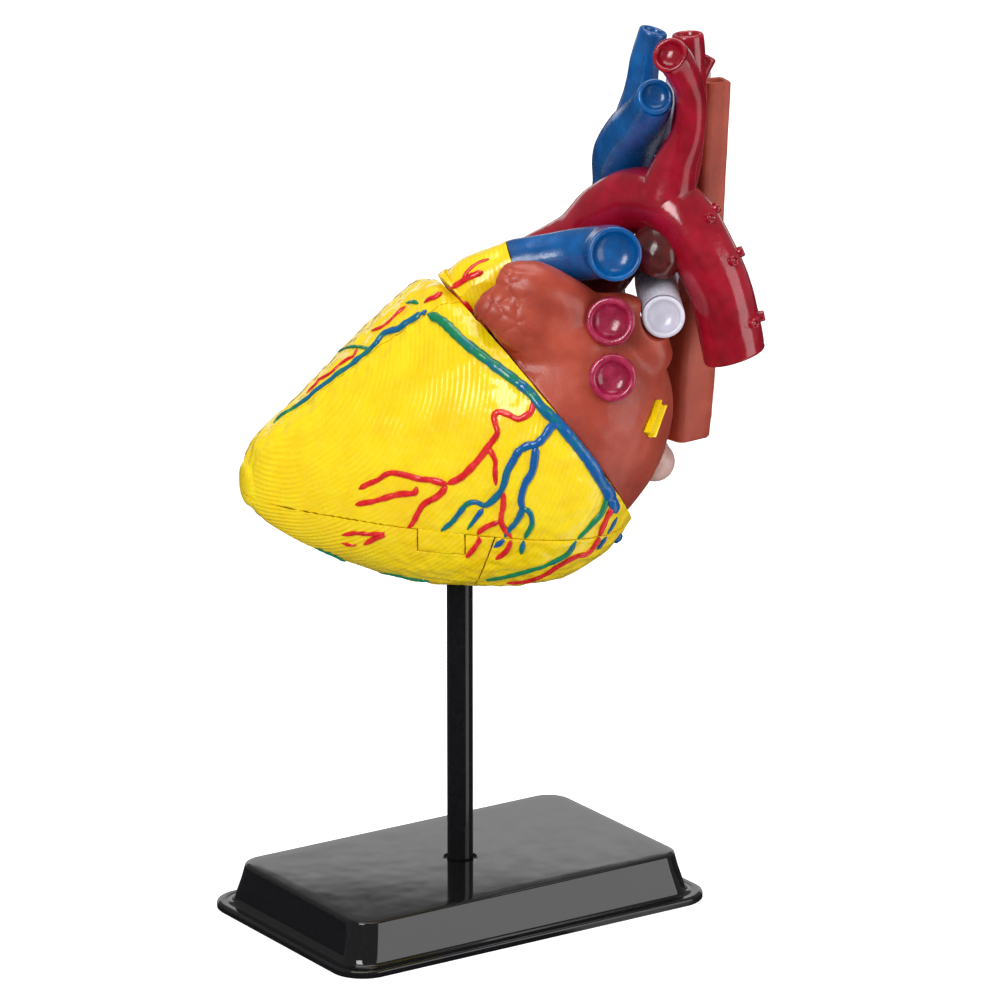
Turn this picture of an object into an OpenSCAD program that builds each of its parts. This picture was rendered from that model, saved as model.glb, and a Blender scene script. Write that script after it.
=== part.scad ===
// Heart anatomy model on a black stand, for the classroom.
// The origin is the centre of the stand's underside, on the pole's axis, with +Z up.
// The heart is drawn in its own frame, seen from its left side, and then turned on the pole.

/* [Stand] */
// Length of the base flange
base_len = 100; // [80:1:130]
// Width of the base flange
base_width = 64; // [50:1:90]
// Height of the base's top plate
base_height = 11; // [9:1:18]
// Thickness of the moulded base wall
base_wall = 2; // [1.5:0.5:3]
// Diameter of the pole
pole_d = 6; // [5:0.5:8]
// Height of the pole's tip above the table
pole_top = 97; // [90:1:130]
// Radial running gap around the pole
pole_gap = 0.05; // [0.03:0.01:0.1]

/* [Heart] */
// Height of the heart, from the lower wall to the tallest artery
heart_height = 127; // [115:1:150]
// Half of the ventricles' depth, from the left side to the right side
ventricle_depth = 35; // [33:0.5:37]
// Thickness of the ventricle walls at the valve plane
ventricle_wall = 4; // [3:0.25:5]
// Thickness of the atrium walls
atrium_wall = 3; // [2:0.25:3.5]
// Thickness of the plate that carries the valves
plate_t = 3; // [2:0.25:3.5]
// Thickness of the septum between the ventricles
septum_t = 4; // [3:0.5:5]
// Gap at every seam between pieces that come apart
seam = 0.3; // [0.3:0.05:0.5]

/* [Vessels] */
// Diameter of the aorta's arch
aorta_d = 14.6; // [12.5:0.1:15]
// Diameter of the pulmonary trunk
pulmonary_d = 12; // [10:0.1:12.4]
// Diameter of the upper vena cava
cava_d = 12; // [10:0.1:12.5]
// Outer diameter of the pulmonary veins
vein_d = 11; // [9:0.1:11.5]
// Outer diameter of the bronchi
bronchus_d = 9.6; // [8:0.1:10]
// Diameter of the windpipe
trachea_d = 10; // [8:0.1:10.4]
// Width of the esophagus bar
esophagus_w = 7; // [6:0.1:7.4]
// Rim left around each hollow vessel end
lip = 1.1; // [0.8:0.1:1.5]

/* [Hidden] */
// The height that the heart's own coordinates are drawn for
drawn_height = 127;
grow = heart_height / drawn_height;
// Height of the pole's tip in the heart's own coordinates
seat_z = 97;
// The heart stands turned away from the base's long side
heading = -33.7;
sides = 14;

yellow = [0.98, 0.83, 0.05];
brick = [0.72, 0.27, 0.17];
crimson = [0.62, 0.05, 0.14];
blue = [0.02, 0.33, 0.62];
pale = [0.88, 0.87, 0.92];
black = [0.03, 0.03, 0.03];

// ---- directions of the heart's own frame: +X to the rear, +Y to its right side, +Z up

function unit(v) = v / norm(v);

// slope of the parting plane between the lower wall and the two side walls
part_slope = -0.035;
// height of that plane at the pole's axis
part_z = 97.2;
// direction across the heart, inside the valve plane and the parting plane, towards the left side
across = [0.3, -1, 0.3 * part_slope];
// centre of the valve plane, and its upward direction
valve_c = [16.6, 0, 121.1];
valve_lean = 37.1;
valve_up = [-sin(valve_lean), 0, cos(valve_lean)];
// normal of the valve plane, towards the atria
valve_n = unit(cross(valve_up, across));
valve_side = cross(valve_n, valve_up);

// The plane between the left and the right ventricle leans to the left side at its top
divide_lean = 17.1;
divide_z = 113.4;

// ---- the ventricles' outline: distance along the long axis, rise of the centre, half height, lean
belly = [
    [0.000, 0.0, 33.3, 37.1],
    [0.075, -4.1, 35.6, 32.3],
    [0.202, -9.8, 35.1, 27.7],
    [0.378, -14.4, 31.0, 23.3],
    [0.552, -17.5, 25.7, 18.6],
    [0.706, -19.2, 19.8, 14.6],
    [0.833, -19.5, 14.5, 9.7],
    [0.927, -19.5, 9.8, 5.4],
    [0.976, -20.2, 5.0, 3.4]
];
// length of the ventricles from the valve plane's centre to the apex
belly_len = 66.1;
belly_h = 35.6;
apex = [valve_c.x - belly_len, 0, 98.6];

// a smooth curve through the rows of a list, at place t counted in rows
function row_at(list, i) = list[max(0, min(len(list) - 1, i))];
function curve(list, t) =
    let (
        i = min(floor(t), len(list) - 2),
        f = t - i,
        a = row_at(list, i - 1),
        b = row_at(list, i),
        c = row_at(list, i + 1),
        d = row_at(list, i + 2)
    )
    b + 0.5 * f * (c - a + f * (2 * a - 5 * b + 4 * c - d + f * (3 * (b - c) + d - a)));

function smooth(list, steps) =
    [for (k = [0 : steps * (len(list) - 1)]) curve(list, k / steps)];

// one ring of the ventricles' skin, for one row of the outline
function belly_ring(row, n) =
    let (
        centre = valve_c + [-belly_len * row[0], 0, row[1]],
        up = row[2] * [-sin(row[3]), 0, cos(row[3])],
        side = ventricle_depth * pow(row[2] / belly_h, 0.95) * across
    )
    [for (j = [0 : n - 1]) centre + up * sin(360 * j / n) + side * cos(360 * j / n)];

// a closed solid from rings of equal length: flat caps, or a point at the last ring
module skin(rings, tip = undef) {
    n = len(rings[0]);
    m = len(rings);
    points = [for (r = rings) each r, if (!is_undef(tip)) tip];
    sides_f = [
        for (i = [0 : m - 2], j = [0 : n - 1])
            let (k = (j + 1) % n)
            each [
                [i * n + k, i * n + j, (i + 1) * n + j],
                [(i + 1) * n + k, i * n + k, (i + 1) * n + j]
            ]
    ];
    first = [[for (j = [0 : n - 1]) j]];
    last = is_undef(tip)
        ? [[for (j = [n - 1 : -1 : 0]) (m - 1) * n + j]]
        : [for (j = [0 : n - 1]) [(m - 1) * n + (j + 1) % n, (m - 1) * n + j, m * n]];
    polyhedron(points, concat(sides_f, first, last), convexity = 6);
}

// a ring of points around a direction; ref keeps neighbouring rings in step
function ring(c, d, rx, ry, ref, n, turn = 0) =
    let (u = unit(cross(ref, d)), v = unit(cross(d, u)))
    [for (j = [0 : n - 1])
        let (a = 360 * j / n + turn)
        c + u * rx * cos(a) + v * ry * sin(a)];

function xyz(p) = [p[0], p[1], p[2]];

// direction of a path of [x, y, z, radius] rows at row i
function heading_at(path, i) =
    unit(xyz(path[min(len(path) - 1, i + 1)]) - xyz(path[max(0, i - 1)]));

// the rings that hollow a vessel's end, with its face turned to direction d
function cup_rings(p, d, ref, n, depth) =
    let (c = xyz(p), r = p[3])
    [
        ring(c, d, r, r, ref, n),
        ring(c + d * 0.3, d, r - 0.35 * lip, r - 0.35 * lip, ref, n),
        ring(c + d * 0.2, d, r - lip, r - lip, ref, n),
        ring(c - d * 0.6 * depth, d, 0.85 * (r - lip), 0.85 * (r - lip), ref, n),
        ring(c - d * depth, d, 0.45 * (r - lip), 0.45 * (r - lip), ref, n)
    ];

// a vessel along a path, hollowed at its last end where depth is over 0
module vessel(path, ref, steps = 3, n = sides, depth = 0, face = undef, root = undef) {
    fine = smooth(path, steps);
    m = len(fine);
    end_d = is_undef(face) ? heading_at(fine, m - 1) : unit(face);
    root_d = is_undef(root) ? heading_at(fine, 0) : unit(root);
    start = [ring(xyz(fine[0]), root_d, fine[0][3], fine[0][3], ref, n)];
    middle = [for (i = [1 : m - 2]) ring(xyz(fine[i]), heading_at(fine, i), fine[i][3], fine[i][3], ref, n)];
    body = concat(start, middle);
    tail = depth > 0
        ? cup_rings(fine[m - 1], end_d, ref, n, depth)
        : [ring(xyz(fine[m - 1]), end_d, fine[m - 1][3], fine[m - 1][3], ref, n)];
    skin(concat(body, tail));
}

// puts the heart's own coordinates on the pole's tip
module heart() {
    translate([0, 0, pole_top])
        rotate([0, 0, heading])
            scale(grow)
                translate([0, 0, -seat_z])
                    children();
}

// coordinates on the valve plate: up along the plate, across to the left side, out to the atria
function on_valve(a, b, c = 0) = valve_c + a * valve_up + b * valve_side + c * valve_n;

module at_valve(a, b, c = 0) {
    p = on_valve(a, b, c);
    multmatrix([
        [valve_up.x, valve_side.x, valve_n.x, p.x],
        [valve_up.y, valve_side.y, valve_n.y, p.y],
        [valve_up.z, valve_side.z, valve_n.z, p.z],
        [0, 0, 0, 1]
    ])
        children();
}

// a pin between two points
module pin(a, b, r1, r2) {
    d = b - a;
    translate(a)
        rotate([0, acos(d.z / norm(d)), atan2(d.y, d.x)])
            cylinder(r1 = r1, r2 = r2, h = norm(d), $fn = 24);
}

// half spaces, as large blocks: above the parting plane, and to the left of the dividing plane
far = 400;

module above_parting(gap) {
    translate([0, 0, part_z + gap])
        rotate([0, -atan(part_slope), 0])
            translate([-far / 2, -far / 2, 0])
                cube(far);
}

module left_of_divide(gap) {
    translate([0, 0, divide_z])
        rotate([divide_lean, 0, 0])
            translate([-far / 2, -far - gap, -far / 2])
                cube(far);
}

module divide_slab(t) {
    translate([0, 0, divide_z])
        rotate([divide_lean, 0, 0])
            translate([-far / 2, -t / 2, -far / 2])
                cube([far, t, far]);
}

// ---- ventricles

belly_steps = 2;
belly_sides = 28;

// the ventricles as one solid, shrunk about the valve plane's centre by the factor given
module belly_solid(shrink = 1, back = 0) {
    rings = [for (row = smooth(belly, belly_steps)) belly_ring(row, belly_sides)];
    translate(valve_c - back * valve_n)
        scale(shrink)
            translate(-valve_c)
                skin(rings, apex);
}

// the inner face is the outer one, shrunk by the wall at the valve plane
hollow = 1 - ventricle_wall / ventricle_depth;
// what stands inside keeps this much smaller than the inner face
inner_fit = 0.012;

module inside_belly() {
    belly_solid(hollow - inner_fit, -0.5);
}

module belly_shell() {
    difference() {
        belly_solid(1, seam / 2);
        belly_solid(hollow, -0.5);
    }
}

// the side of the valve plane where the atria and the vessels stand
module atrial_side(gap) {
    at_valve(0, 0, gap)
        translate([-far / 2, -far / 2, 0])
            cube(far);
}

module ventricle_side(gap) {
    at_valve(0, 0, gap - far)
        translate([-far / 2, -far / 2, 0])
            cube(far);
}

module lower_shell() {
    difference() {
        belly_shell();
        above_parting(-seam / 2);
    }
}

// the short seam that parts the lower wall: it leans to the rear at its top
rear_cut_x = 3.5;
rear_cut_z = 81;
rear_cut_lean = 16;

module rear_half(gap) {
    translate([rear_cut_x + gap, 0, rear_cut_z])
        rotate([0, rear_cut_lean, 0])
            translate([0, -far / 2, -far / 2])
                cube(far);
}

// the boss that takes the pole's tip
boss_r = 6;
boss_top = 100.5;

module boss(r) {
    intersection() {
        translate([0, 0, seat_z - 40])
            cylinder(r = r, h = 40 + boss_top - seat_z, $fn = 48);
        belly_solid(1, seam / 2);
    }
}

module pole_bore() {
    cylinder(r = pole_d / 2 + pole_gap, h = pole_top + seam, $fn = 48);
}

// the tab of the left wall, and the notch that it fills in the lower wall
tab_x0 = -9.2;
tab_x1 = 1.2;
tab_drop = 5.4;

module tab_block(grow_by) {
    difference() {
        translate([tab_x0 - grow_by, -60, part_z - tab_drop - grow_by])
            cube([tab_x1 - tab_x0 + 2 * grow_by, 40, tab_drop + 10]);
        above_parting(grow_by > 0 ? 1 : seam / 2);
    }
}

module lower_wall_front() {
    difference() {
        heart()
            union() {
                difference() {
                    lower_shell();
                    rear_half(-seam / 2);
                    tab_block(seam);
                }
                boss(boss_r);
            }
        pole_bore();
    }
}

module lower_wall_rear() {
    heart()
        difference() {
            intersection() {
                lower_shell();
                rear_half(seam / 2);
            }
            boss(boss_r + seam);
        }
}

module septum() {
    heart()
        difference() {
            intersection() {
                inside_belly();
                divide_slab(septum_t);
            }
            atrial_side(-plate_t - 2 * seam);
            translate([0, 0, boss_top - 60])
                cylinder(r = boss_r + seam, h = 60 + seam, $fn = 48);
        }
}

// ---- valve plate: each place is [up along the plate, towards the left side, radius]
mitral = [-4, 15.5, 10.5];
tricuspid = [-4, -15, 11];
aortic = [20, -10.5, 6.6];
pulmonary = [21.5, 4.5, 6.2];

module valve_hole(v) {
    at_valve(v[0], v[1], -plate_t - 2)
        cylinder(r = v[2], h = plate_t + 4, $fn = 48);
}

// the plate ends this far above the parting plane, so that the left wall clears it on its way out
plate_rise = 2.8;

module valve_plate() {
    heart()
        difference() {
            intersection() {
                skin([
                    for (c = [-seam, -plate_t - seam])
                        [for (p = belly_ring(belly[0], belly_sides))
                            valve_c + (hollow - 2 * inner_fit) * (p - valve_c) + c * valve_n]
                ]);
                above_parting(plate_rise);
            }
            valve_hole(mitral);
            valve_hole(tricuspid);
            valve_hole(aortic);
            valve_hole(pulmonary);
        }
}

// a valve between ventricle and atrium: a ring in the plate and a funnel of leaflets with a slit
module funnel_valve(v, depth) {
    r = v[2];
    at_valve(v[0], v[1], -seam)
        difference() {
            rotate_extrude($fn = 48)
                polygon([
                    [r - 0.02, 0], [r - 0.02, -plate_t], [0.62 * r, -plate_t - depth],
                    [0.5 * r, -plate_t - depth], [r - 2.2, -0.5 * plate_t], [r - 1.2, 0]
                ]);
            translate([-r, -0.5, -plate_t - depth - 1])
                cube([2 * r, 1, depth + 0.4]);
        }
}

// a valve of an artery: a ring with three cusps that meet at the middle
module cusp_valve(v) {
    r = v[2];
    at_valve(v[0], v[1], -seam - plate_t)
        difference() {
            union() {
                difference() {
                    cylinder(r = r - 0.02, h = plate_t, $fn = 48);
                    translate([0, 0, -1])
                        cylinder(r = r - 1.2, h = plate_t + 2, $fn = 48);
                }
                cylinder(r1 = r - 1, r2 = 1.5, h = 0.8 * plate_t, $fn = 48);
            }
            translate([0, 0, -0.8])
                cylinder(r1 = r - 1, r2 = 1.5, h = 0.8 * plate_t, $fn = 48);
            for (i = [0 : 2])
                rotate([0, 0, 120 * i])
                    translate([0, -0.2, 0.2])
                        cube([r - 1.3, 0.4, plate_t]);
        }
}

module mitral_valve() {
    heart() funnel_valve(mitral, 6);
}

module tricuspid_valve() {
    heart() funnel_valve(tricuspid, 6);
}

module aortic_valve() {
    heart() cusp_valve(aortic);
}

module pulmonary_valve() {
    heart() cusp_valve(pulmonary);
}

// two muscles that rise from the lower wall towards a valve's edge
module papillary(v, foot_y) {
    for (s = [-1, 1]) {
        foot = [-12 + 7 * s, foot_y, 86];
        tip = on_valve(v[0] + 2 * s, v[1], -plate_t - 12);
        intersection() {
            pin(foot, foot + 0.55 * (tip - foot), 4, 1.6);
            inside_belly();
        }
    }
}

module left_papillary_muscles() {
    heart() papillary(mitral, -13);
}

module right_papillary_muscles() {
    heart() papillary(tricuspid, 17);
}

module left_ventricle_wall() {
    heart()
        intersection() {
            belly_shell();
            above_parting(seam / 2);
            left_of_divide(seam / 2);
        }
}

module locking_tab() {
    heart()
        intersection() {
            belly_shell();
            tab_block(0);
        }
}

module right_ventricle_wall() {
    heart()
        difference() {
            intersection() {
                belly_shell();
                above_parting(seam / 2);
            }
            left_of_divide(-seam / 2);
        }
}

// ---- atria: rows of [height over the valve plane, shift along it, half height, half width]
left_dome = [
    [0, -1, 30, 32.5],
    [10, -0.3, 28.2, 31],
    [18, 1.1, 25.2, 27.5],
    [25, 1.6, 19.2, 21.2],
    [30, 3.2, 10, 11.6]
];
right_dome = [
    [0, -9.3, 23.7, 31],
    [7, -9.3, 23.5, 30.5],
    [13, -9.3, 21.5, 28],
    [18, -8.8, 17, 22.5],
    [21.5, -7.8, 10, 13]
];

function dome_ring(row, n) =
    let (c = on_valve(row[1], 0, row[0]))
    [for (j = [0 : n - 1])
        c - row[2] * valve_up * sin(360 * j / n)
            + row[3] * ventricle_depth / 35 * across * cos(360 * j / n)];

module dome(rows, tip_h, tip_shift) {
    skin([for (row = smooth(rows, 2)) dome_ring(row, 26)], on_valve(tip_shift, 0, tip_h));
}

module left_atrium_solid() {
    intersection() {
        dome(left_dome, 31.8, 4.2);
        left_of_divide(seam / 2);
        atrial_side(seam / 2);
    }
}

module right_atrium_solid() {
    difference() {
        intersection() {
            dome(right_dome, 22.8, -6.5);
            atrial_side(seam / 2);
        }
        left_of_divide(-seam / 2);
    }
}

// an atrium's hollow is its own outside, shrunk about a point in its open face
module shrunk(about, wall, half) {
    translate(about - 0.5 * valve_n)
        scale(1 - wall / half)
            translate(-about)
                children();
}

left_about = on_valve(-5, 15, 0);
right_about = on_valve(-10, -15, 0);

// the locking tongue lies in the atrium's wall: its middle, its long direction and the way it faces
clip_at = [43, -21.2, 122.2];
clip_long = unit([3.7, 7.2, 8.4]);
clip_wide = unit(cross([0.79, -0.6, 0.16], clip_long));
clip_out = cross(clip_long, clip_wide);
clip_size = [7.6, 2.4, 3.6];

module clip_block(grow_by) {
    size = [for (v = clip_size) v + 2 * grow_by];
    multmatrix([
        [clip_long.x, clip_wide.x, clip_out.x, clip_at.x],
        [clip_long.y, clip_wide.y, clip_out.y, clip_at.y],
        [clip_long.z, clip_wide.z, clip_out.z, clip_at.z],
        [0, 0, 0, 1]
    ])
        translate(-size / 2)
            cube(size);
}

// the way that the left atrium is pulled
atrium_pull = unit([0.3, -1, 0.03]);
// where the left bronchus ends, above the atrium, and the way up from the atrium to it
bronchus_end = [45.7, -16, 144.4];
room_guess = [0.5, 0, 0.86];
room_n = unit(room_guess - (room_guess * atrium_pull) * atrium_pull);

// what the atrium leaves free along its way, so that it slides out below the left bronchus
module bronchus_room() {
    u = cross(atrium_pull, room_n);
    p = bronchus_end - (bronchus_d / 2 + seam) * room_n;
    multmatrix([
        [u.x, atrium_pull.x, room_n.x, p.x],
        [u.y, atrium_pull.y, room_n.y, p.y],
        [u.z, atrium_pull.z, room_n.z, p.z],
        [0, 0, 0, 1]
    ])
        translate([-far / 2, -far / 2, 0])
            cube(far);
}

module left_atrium() {
    heart()
        difference() {
            left_atrium_solid();
            shrunk(left_about, atrium_wall, 18) left_atrium_solid();
            clip_block(0.1);
            bronchus_room();
        }
}

module atrium_clip() {
    heart()
        intersection() {
            left_atrium_solid();
            clip_block(0);
        }
}

side_ref = [1, 0, 0];
long_ref = [0, 1, 0];

// the auricle is two rows of lobes that run forward from the atrium
module left_auricle_solid() {
    intersection() {
        union() {
            vessel([
                [30, -13, 142, 7.5],
                [23, -18.5, 147, 7],
                [16.5, -19.2, 151.5, 6.6],
                [11.5, -19.5, 153.5, 4.6]
            ], long_ref, 2);
            vessel([
                [30, -12, 137, 10],
                [22, -16, 141, 9],
                [14, -19, 144.5, 7.6],
                [7.5, -19.5, 146.5, 5.4],
                [4.8, -19.5, 146, 3.6]
            ], long_ref, 2);
        }
        atrial_side(seam);
        left_of_divide(seam);
    }
}

module left_auricle() {
    heart()
        difference() {
            left_auricle_solid();
            left_atrium_solid();
        }
}

module left_pulmonary_veins() {
    heart()
        difference() {
            union() {
                vessel([
                    [33.9, -8, 141, vein_d / 2 - 1],
                    [33.8, -15, 143.3, vein_d / 2 - 0.5],
                    [33.7, -22.5, 145, vein_d / 2]
                ], side_ref, 2, 16, 2.6, [-0.1, -0.96, 0.26]);
                vessel([
                    [34.2, -14, 130.5, vein_d / 2 - 1],
                    [34.2, -21, 132.4, vein_d / 2 - 0.6],
                    [34.2, -28.5, 133.6, vein_d / 2 - 0.2]
                ], side_ref, 2, 16, 2.6, [0.05, -0.98, 0.2]);
            }
            left_atrium_solid();
            left_auricle_solid();
        }
}

module cava_stub() {
    vessel([
        [28, 19, 126, cava_d / 2 - 0.6],
        [29.5, 22, 135, cava_d / 2 - 0.4],
        [31.5, 23, 145.6, cava_d / 2]
    ], side_ref, 2, sides, 0, [0, 0, 1]);
}

module right_atrium() {
    heart()
        difference() {
            union() {
                right_atrium_solid();
                cava_stub();
            }
            shrunk(right_about, atrium_wall, 16) right_atrium_solid();
        }
}

module right_auricle() {
    heart()
        difference() {
            intersection() {
                vessel([
                    [19.5, 21, 130, 5],
                    [15.5, 25, 134.5, 5.6],
                    [10.5, 26, 136, 4.8],
                    [6, 25.5, 134.5, 3]
                ], long_ref);
                atrial_side(seam);
            }
            right_atrium_solid();
        }
}

module right_pulmonary_veins() {
    heart()
        difference() {
            union() {
                vessel([
                    [36, 14, 124, vein_d / 2 - 1.2],
                    [37.5, 22, 124, vein_d / 2 - 1],
                    [39, 31, 124, vein_d / 2 - 0.8]
                ], side_ref, 2, sides, 2.6);
                vessel([
                    [38, 12, 112, vein_d / 2 - 1.2],
                    [40.5, 20, 112, vein_d / 2 - 1],
                    [43, 29, 111.6, vein_d / 2 - 0.8]
                ], side_ref, 2, sides, 2.6);
            }
            right_atrium_solid();
        }
}

module inferior_vena_cava() {
    heart()
        difference() {
            intersection() {
                vessel([
                    [29, 20, 111, 5],
                    [31.5, 24, 103, 5],
                    [34.5, 27, 94, 5]
                ], side_ref, 2, sides, 3);
                atrial_side(seam);
            }
            right_atrium_solid();
        }
}

module right_pulmonary_artery() {
    heart()
        difference() {
            vessel([
                [27.2, 18, 134, 4],
                [27.6, 27, 138.6, 4],
                [27.6, 36, 140, 4]
            ], side_ref, 2, sides, 2.6);
            right_atrium_solid();
            cava_stub();
        }
}

// ---- great vessels
outflow_end = [12.6, -5.5, 153.5];
outflow_face = [0.93, 0, 0.36];

module pulmonary_outflow() {
    heart()
        difference() {
            vessel([
                concat(on_valve(25.4, 3.5, -3), 9),
                concat(on_valve(25.6, 3.5, 3), 8.8),
                [6.2, -4.5, 148.2, 7.8],
                concat(outflow_end, pulmonary_d / 2 - 0.2)
            ], long_ref, 3, sides, 0, outflow_face);
            ventricle_side(seam);
            left_of_divide(-seam);
        }
}

module pulmonary_trunk() {
    r = pulmonary_d / 2;
    heart()
        vessel([
            concat(outflow_end + seam * outflow_face, r - 0.2),
            [20, -7, 155.2, r - 0.1],
            [27.5, -9.2, 157, r],
            [33, -14, 158.8, r],
            [34.7, -21.5, 160.2, r + 0.1]
        ], [0, 0, 1], 3, 16, 3.4, [0.12, -0.97, 0.2], outflow_face);
}

aorta_r = aorta_d / 2;
aorta_path = [
    concat(on_valve(23, -13.5, -3), aorta_r - 0.6),
    concat(on_valve(23, -13.5, 6), aorta_r - 0.5),
    [18, 14.2, 148.5, aorta_r - 0.1],
    [27.5, 10.8, 155, aorta_r],
    [33.4, 6.8, 162.4, aorta_r],
    [40, 2.5, 166.8, aorta_r],
    [46.7, -1.5, 166.4, aorta_r],
    [52.3, -4.5, 160.8, aorta_r],
    [58.6, -7, 148, aorta_r - 0.1],
    [62, -8, 133.4, aorta_r - 0.2]
];

module aorta_solid() {
    intersection() {
        vessel(aorta_path, [0.35, 0.9, 0.25], 3, 16, 0, [0.3, 0, -0.95]);
        atrial_side(seam);
    }
}

module aorta() {
    heart() aorta_solid();
}

// pairs of stubs along the rear of the descending aorta, at these places of its path
stub_places = [6.85, 7.6, 8.45];

module intercostal_stubs() {
    heart()
        difference() {
            for (t = stub_places, s = [0, 1]) {
                p = xyz(curve(aorta_path, t));
                d = unit(xyz(curve(aorta_path, t + 0.05)) - p);
                out = unit(cross([0, -1, 0], d));
                aim = unit(out + 0.9 * s * [0, -1, 0]);
                pin(p + aim * (aorta_r - 2.5), p + aim * (aorta_r + 0.8), 1.2, 1);
            }
            aorta_solid();
        }
}

module arch_branches() {
    heart()
        difference() {
            union() {
                vessel([
                    [47.3, -2, 171, 4.6],
                    [48.6, -3, 176, 4.8],
                    [51.4, -5, 184.5, 3.6],
                    [51.6, -7, 193, 3.4],
                    [48.8, -9.5, 200.3, 3.9],
                    [46.8, -11, 203, 4.1]
                ], long_ref, 3, sides, 2, [-0.35, -0.75, 0.5]);
                vessel([
                    [48.3, -1, 171, 4.4],
                    [50.3, 0, 177, 4.2],
                    [51.8, 1, 188, 3.7],
                    [51.6, 1.5, 196, 3.7],
                    [51.1, 1.5, 204.8, 3.6]
                ], long_ref, 2, sides, 1.4);
                vessel([
                    [49, 0, 170, 4],
                    [51, 2.5, 178, 3],
                    [52.6, 4.5, 188, 2.2],
                    [53.8, 4.2, 194.4, 1.8],
                    [55.9, 4.6, 198.9, 1.8]
                ], long_ref, 2, 12, 0.8);
            }
            aorta_solid();
        }
}

module vena_cava_superior() {
    r = cava_d / 2;
    heart()
        union() {
            vessel([
                [31.5, 23, 145.6 + seam, r],
                [34.2, 23, 156, r + 0.1],
                [36.3, 20.8, 165, r + 0.2],
                [37, 17, 173, r + 0.9],
                [39, 12, 179.5, r + 0.2],
                [41.8, 3.5, 185.5, r - 0.6],
                [43.8, -5.5, 192.3, 4.1]
            ], side_ref, 2, sides, 2, [0.2, -0.9, 0.38], [0, 0, 1]);
            vessel([
                [37, 18, 170, r],
                [39.4, 17.5, 181, 4.6],
                [41.3, 17, 190, 3.7],
                [42, 16.8, 196, 3.4],
                [43.8, 16.5, 202.4, 3.3]
            ], side_ref, 2, sides, 1.2);
        }
}

// ---- windpipe and esophagus
carina = [47.4, 16.5, 153];

// the dark mass under the arch, between it and the left bronchus, which slides out below it
module arterial_ligament() {
    heart()
        difference() {
            vessel([
                [44, -11.5, 154.5, 4],
                [44.6, -6, 156.5, 5.2],
                [45.4, 2, 158.5, 5.6],
                [45.8, 6, 159.5, 5]
            ], side_ref, 2, sides);
            aorta_solid();
            for (k = [0 : 3])
                translate([0, 2 * k, seam + 0.3 * k])
                    left_bronchus_solid();
        }
}

module trachea() {
    r = trachea_d / 2;
    heart()
        vessel([
            concat(carina, r),
            [48.6, 16.5, 167, r],
            [50.4, 16.5, 181, r],
            [52, 16.5, 193.5, r]
        ], side_ref, 2, sides, 2, undef, [0, 0, 1]);
}

module left_bronchus_solid() {
    r = bronchus_d / 2;
    vessel([
        [47.4, 16.5, 152.7, r],
        [44.9, 12, 149.8, r - 0.4],
        [44.3, 4, 148, r - 0.1],
        [bronchus_end.x, bronchus_end.y, bronchus_end.z, r]
    ], side_ref, 3, 16, 2.4, [-0.1, -0.96, 0.24]);
}

// the bronchi end flat where the windpipe begins
module below_carina() {
    difference() {
        children();
        translate([0, 0, carina.z])
            cube(far);
    }
}

module left_bronchus() {
    heart()
        below_carina()
            left_bronchus_solid();
}

module right_bronchus() {
    r = bronchus_d / 2 - 0.4;
    heart()
        difference() {
            below_carina()
                vessel([
                    [47.6, 16.5, 152.7, r],
                    [49.5, 24, 149, r],
                    [53, 34, 137, r],
                    [54.4, 37.5, 122, r],
                    [54.4, 38, 106, r - 0.3]
                ], side_ref, 3, sides, 2);
            left_bronchus_solid();
        }
}

// a square bar with chamfered corners: [x, height, half diagonal, turn] from its foot up
esophagus_y = 8.8;
esophagus_rows = [
    [51.5, 109.6, 0.78, 40],
    [52.4, 124, 0.82, 37],
    [53.6, 137, 0.7, 33],
    [54.8, 148, 0.6, 30],
    [56.2, 170, 0.57, 25],
    [57.5, 192.8, 0.53, 20]
];

module esophagus() {
    heart()
        skin([
            for (row = smooth(esophagus_rows, 2))
                [for (j = [0 : 3], s = [-8, 8])
                    let (a = 45 + 90 * j + s + row[3], r = esophagus_w * row[2])
                    [row[0] + r * cos(a), esophagus_y + r * sin(a), row[1]]]
        ]);
}

// ---- stand

module plate(len, width, r, z0, z1) {
    for (x = [-1, 1], y = [-1, 1])
        translate([x * (len / 2 - r), y * (width / 2 - r), z0])
            cylinder(r = r, h = z1 - z0, $fn = 32);
}

lip_t = 1.6;
ledge = 3;
socket_floor = 1.5;

module base_body(inset, top) {
    hull() {
        plate(base_len - 2 * ledge - 2 * inset, base_width - 2 * ledge - 2 * inset, 6 - inset, -1, lip_t);
        plate(base_len - 2 * ledge - 4 - 2 * inset, base_width - 2 * ledge - 4 - 2 * inset,
            6 - inset, 0, top - 1);
        plate(base_len - 2 * ledge - 6 - 2 * inset, base_width - 2 * ledge - 6 - 2 * inset,
            5 - inset, 0, top);
    }
}

module stand_base() {
    difference() {
        union() {
            difference() {
                union() {
                    hull() plate(base_len, base_width, 8, 0, lip_t);
                    intersection() {
                        base_body(0, base_height);
                        translate([-far / 2, -far / 2, 0])
                            cube(far);
                    }
                }
                base_body(base_wall, base_height - base_wall);
            }
            cylinder(r = pole_d / 2 + 3, h = base_height - 1, $fn = 48);
        }
        translate([0, 0, socket_floor])
            cylinder(r = pole_d / 2 + pole_gap, h = base_height, $fn = 48);
        translate([0, 0, base_height - 0.6])
            cylinder(r = pole_d / 2 + 0.9, h = 2, $fn = 48);
    }
}

module pole() {
    translate([0, 0, socket_floor + seam])
        cylinder(r = pole_d / 2, h = pole_top - socket_floor - seam, $fn = 48);
}

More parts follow.
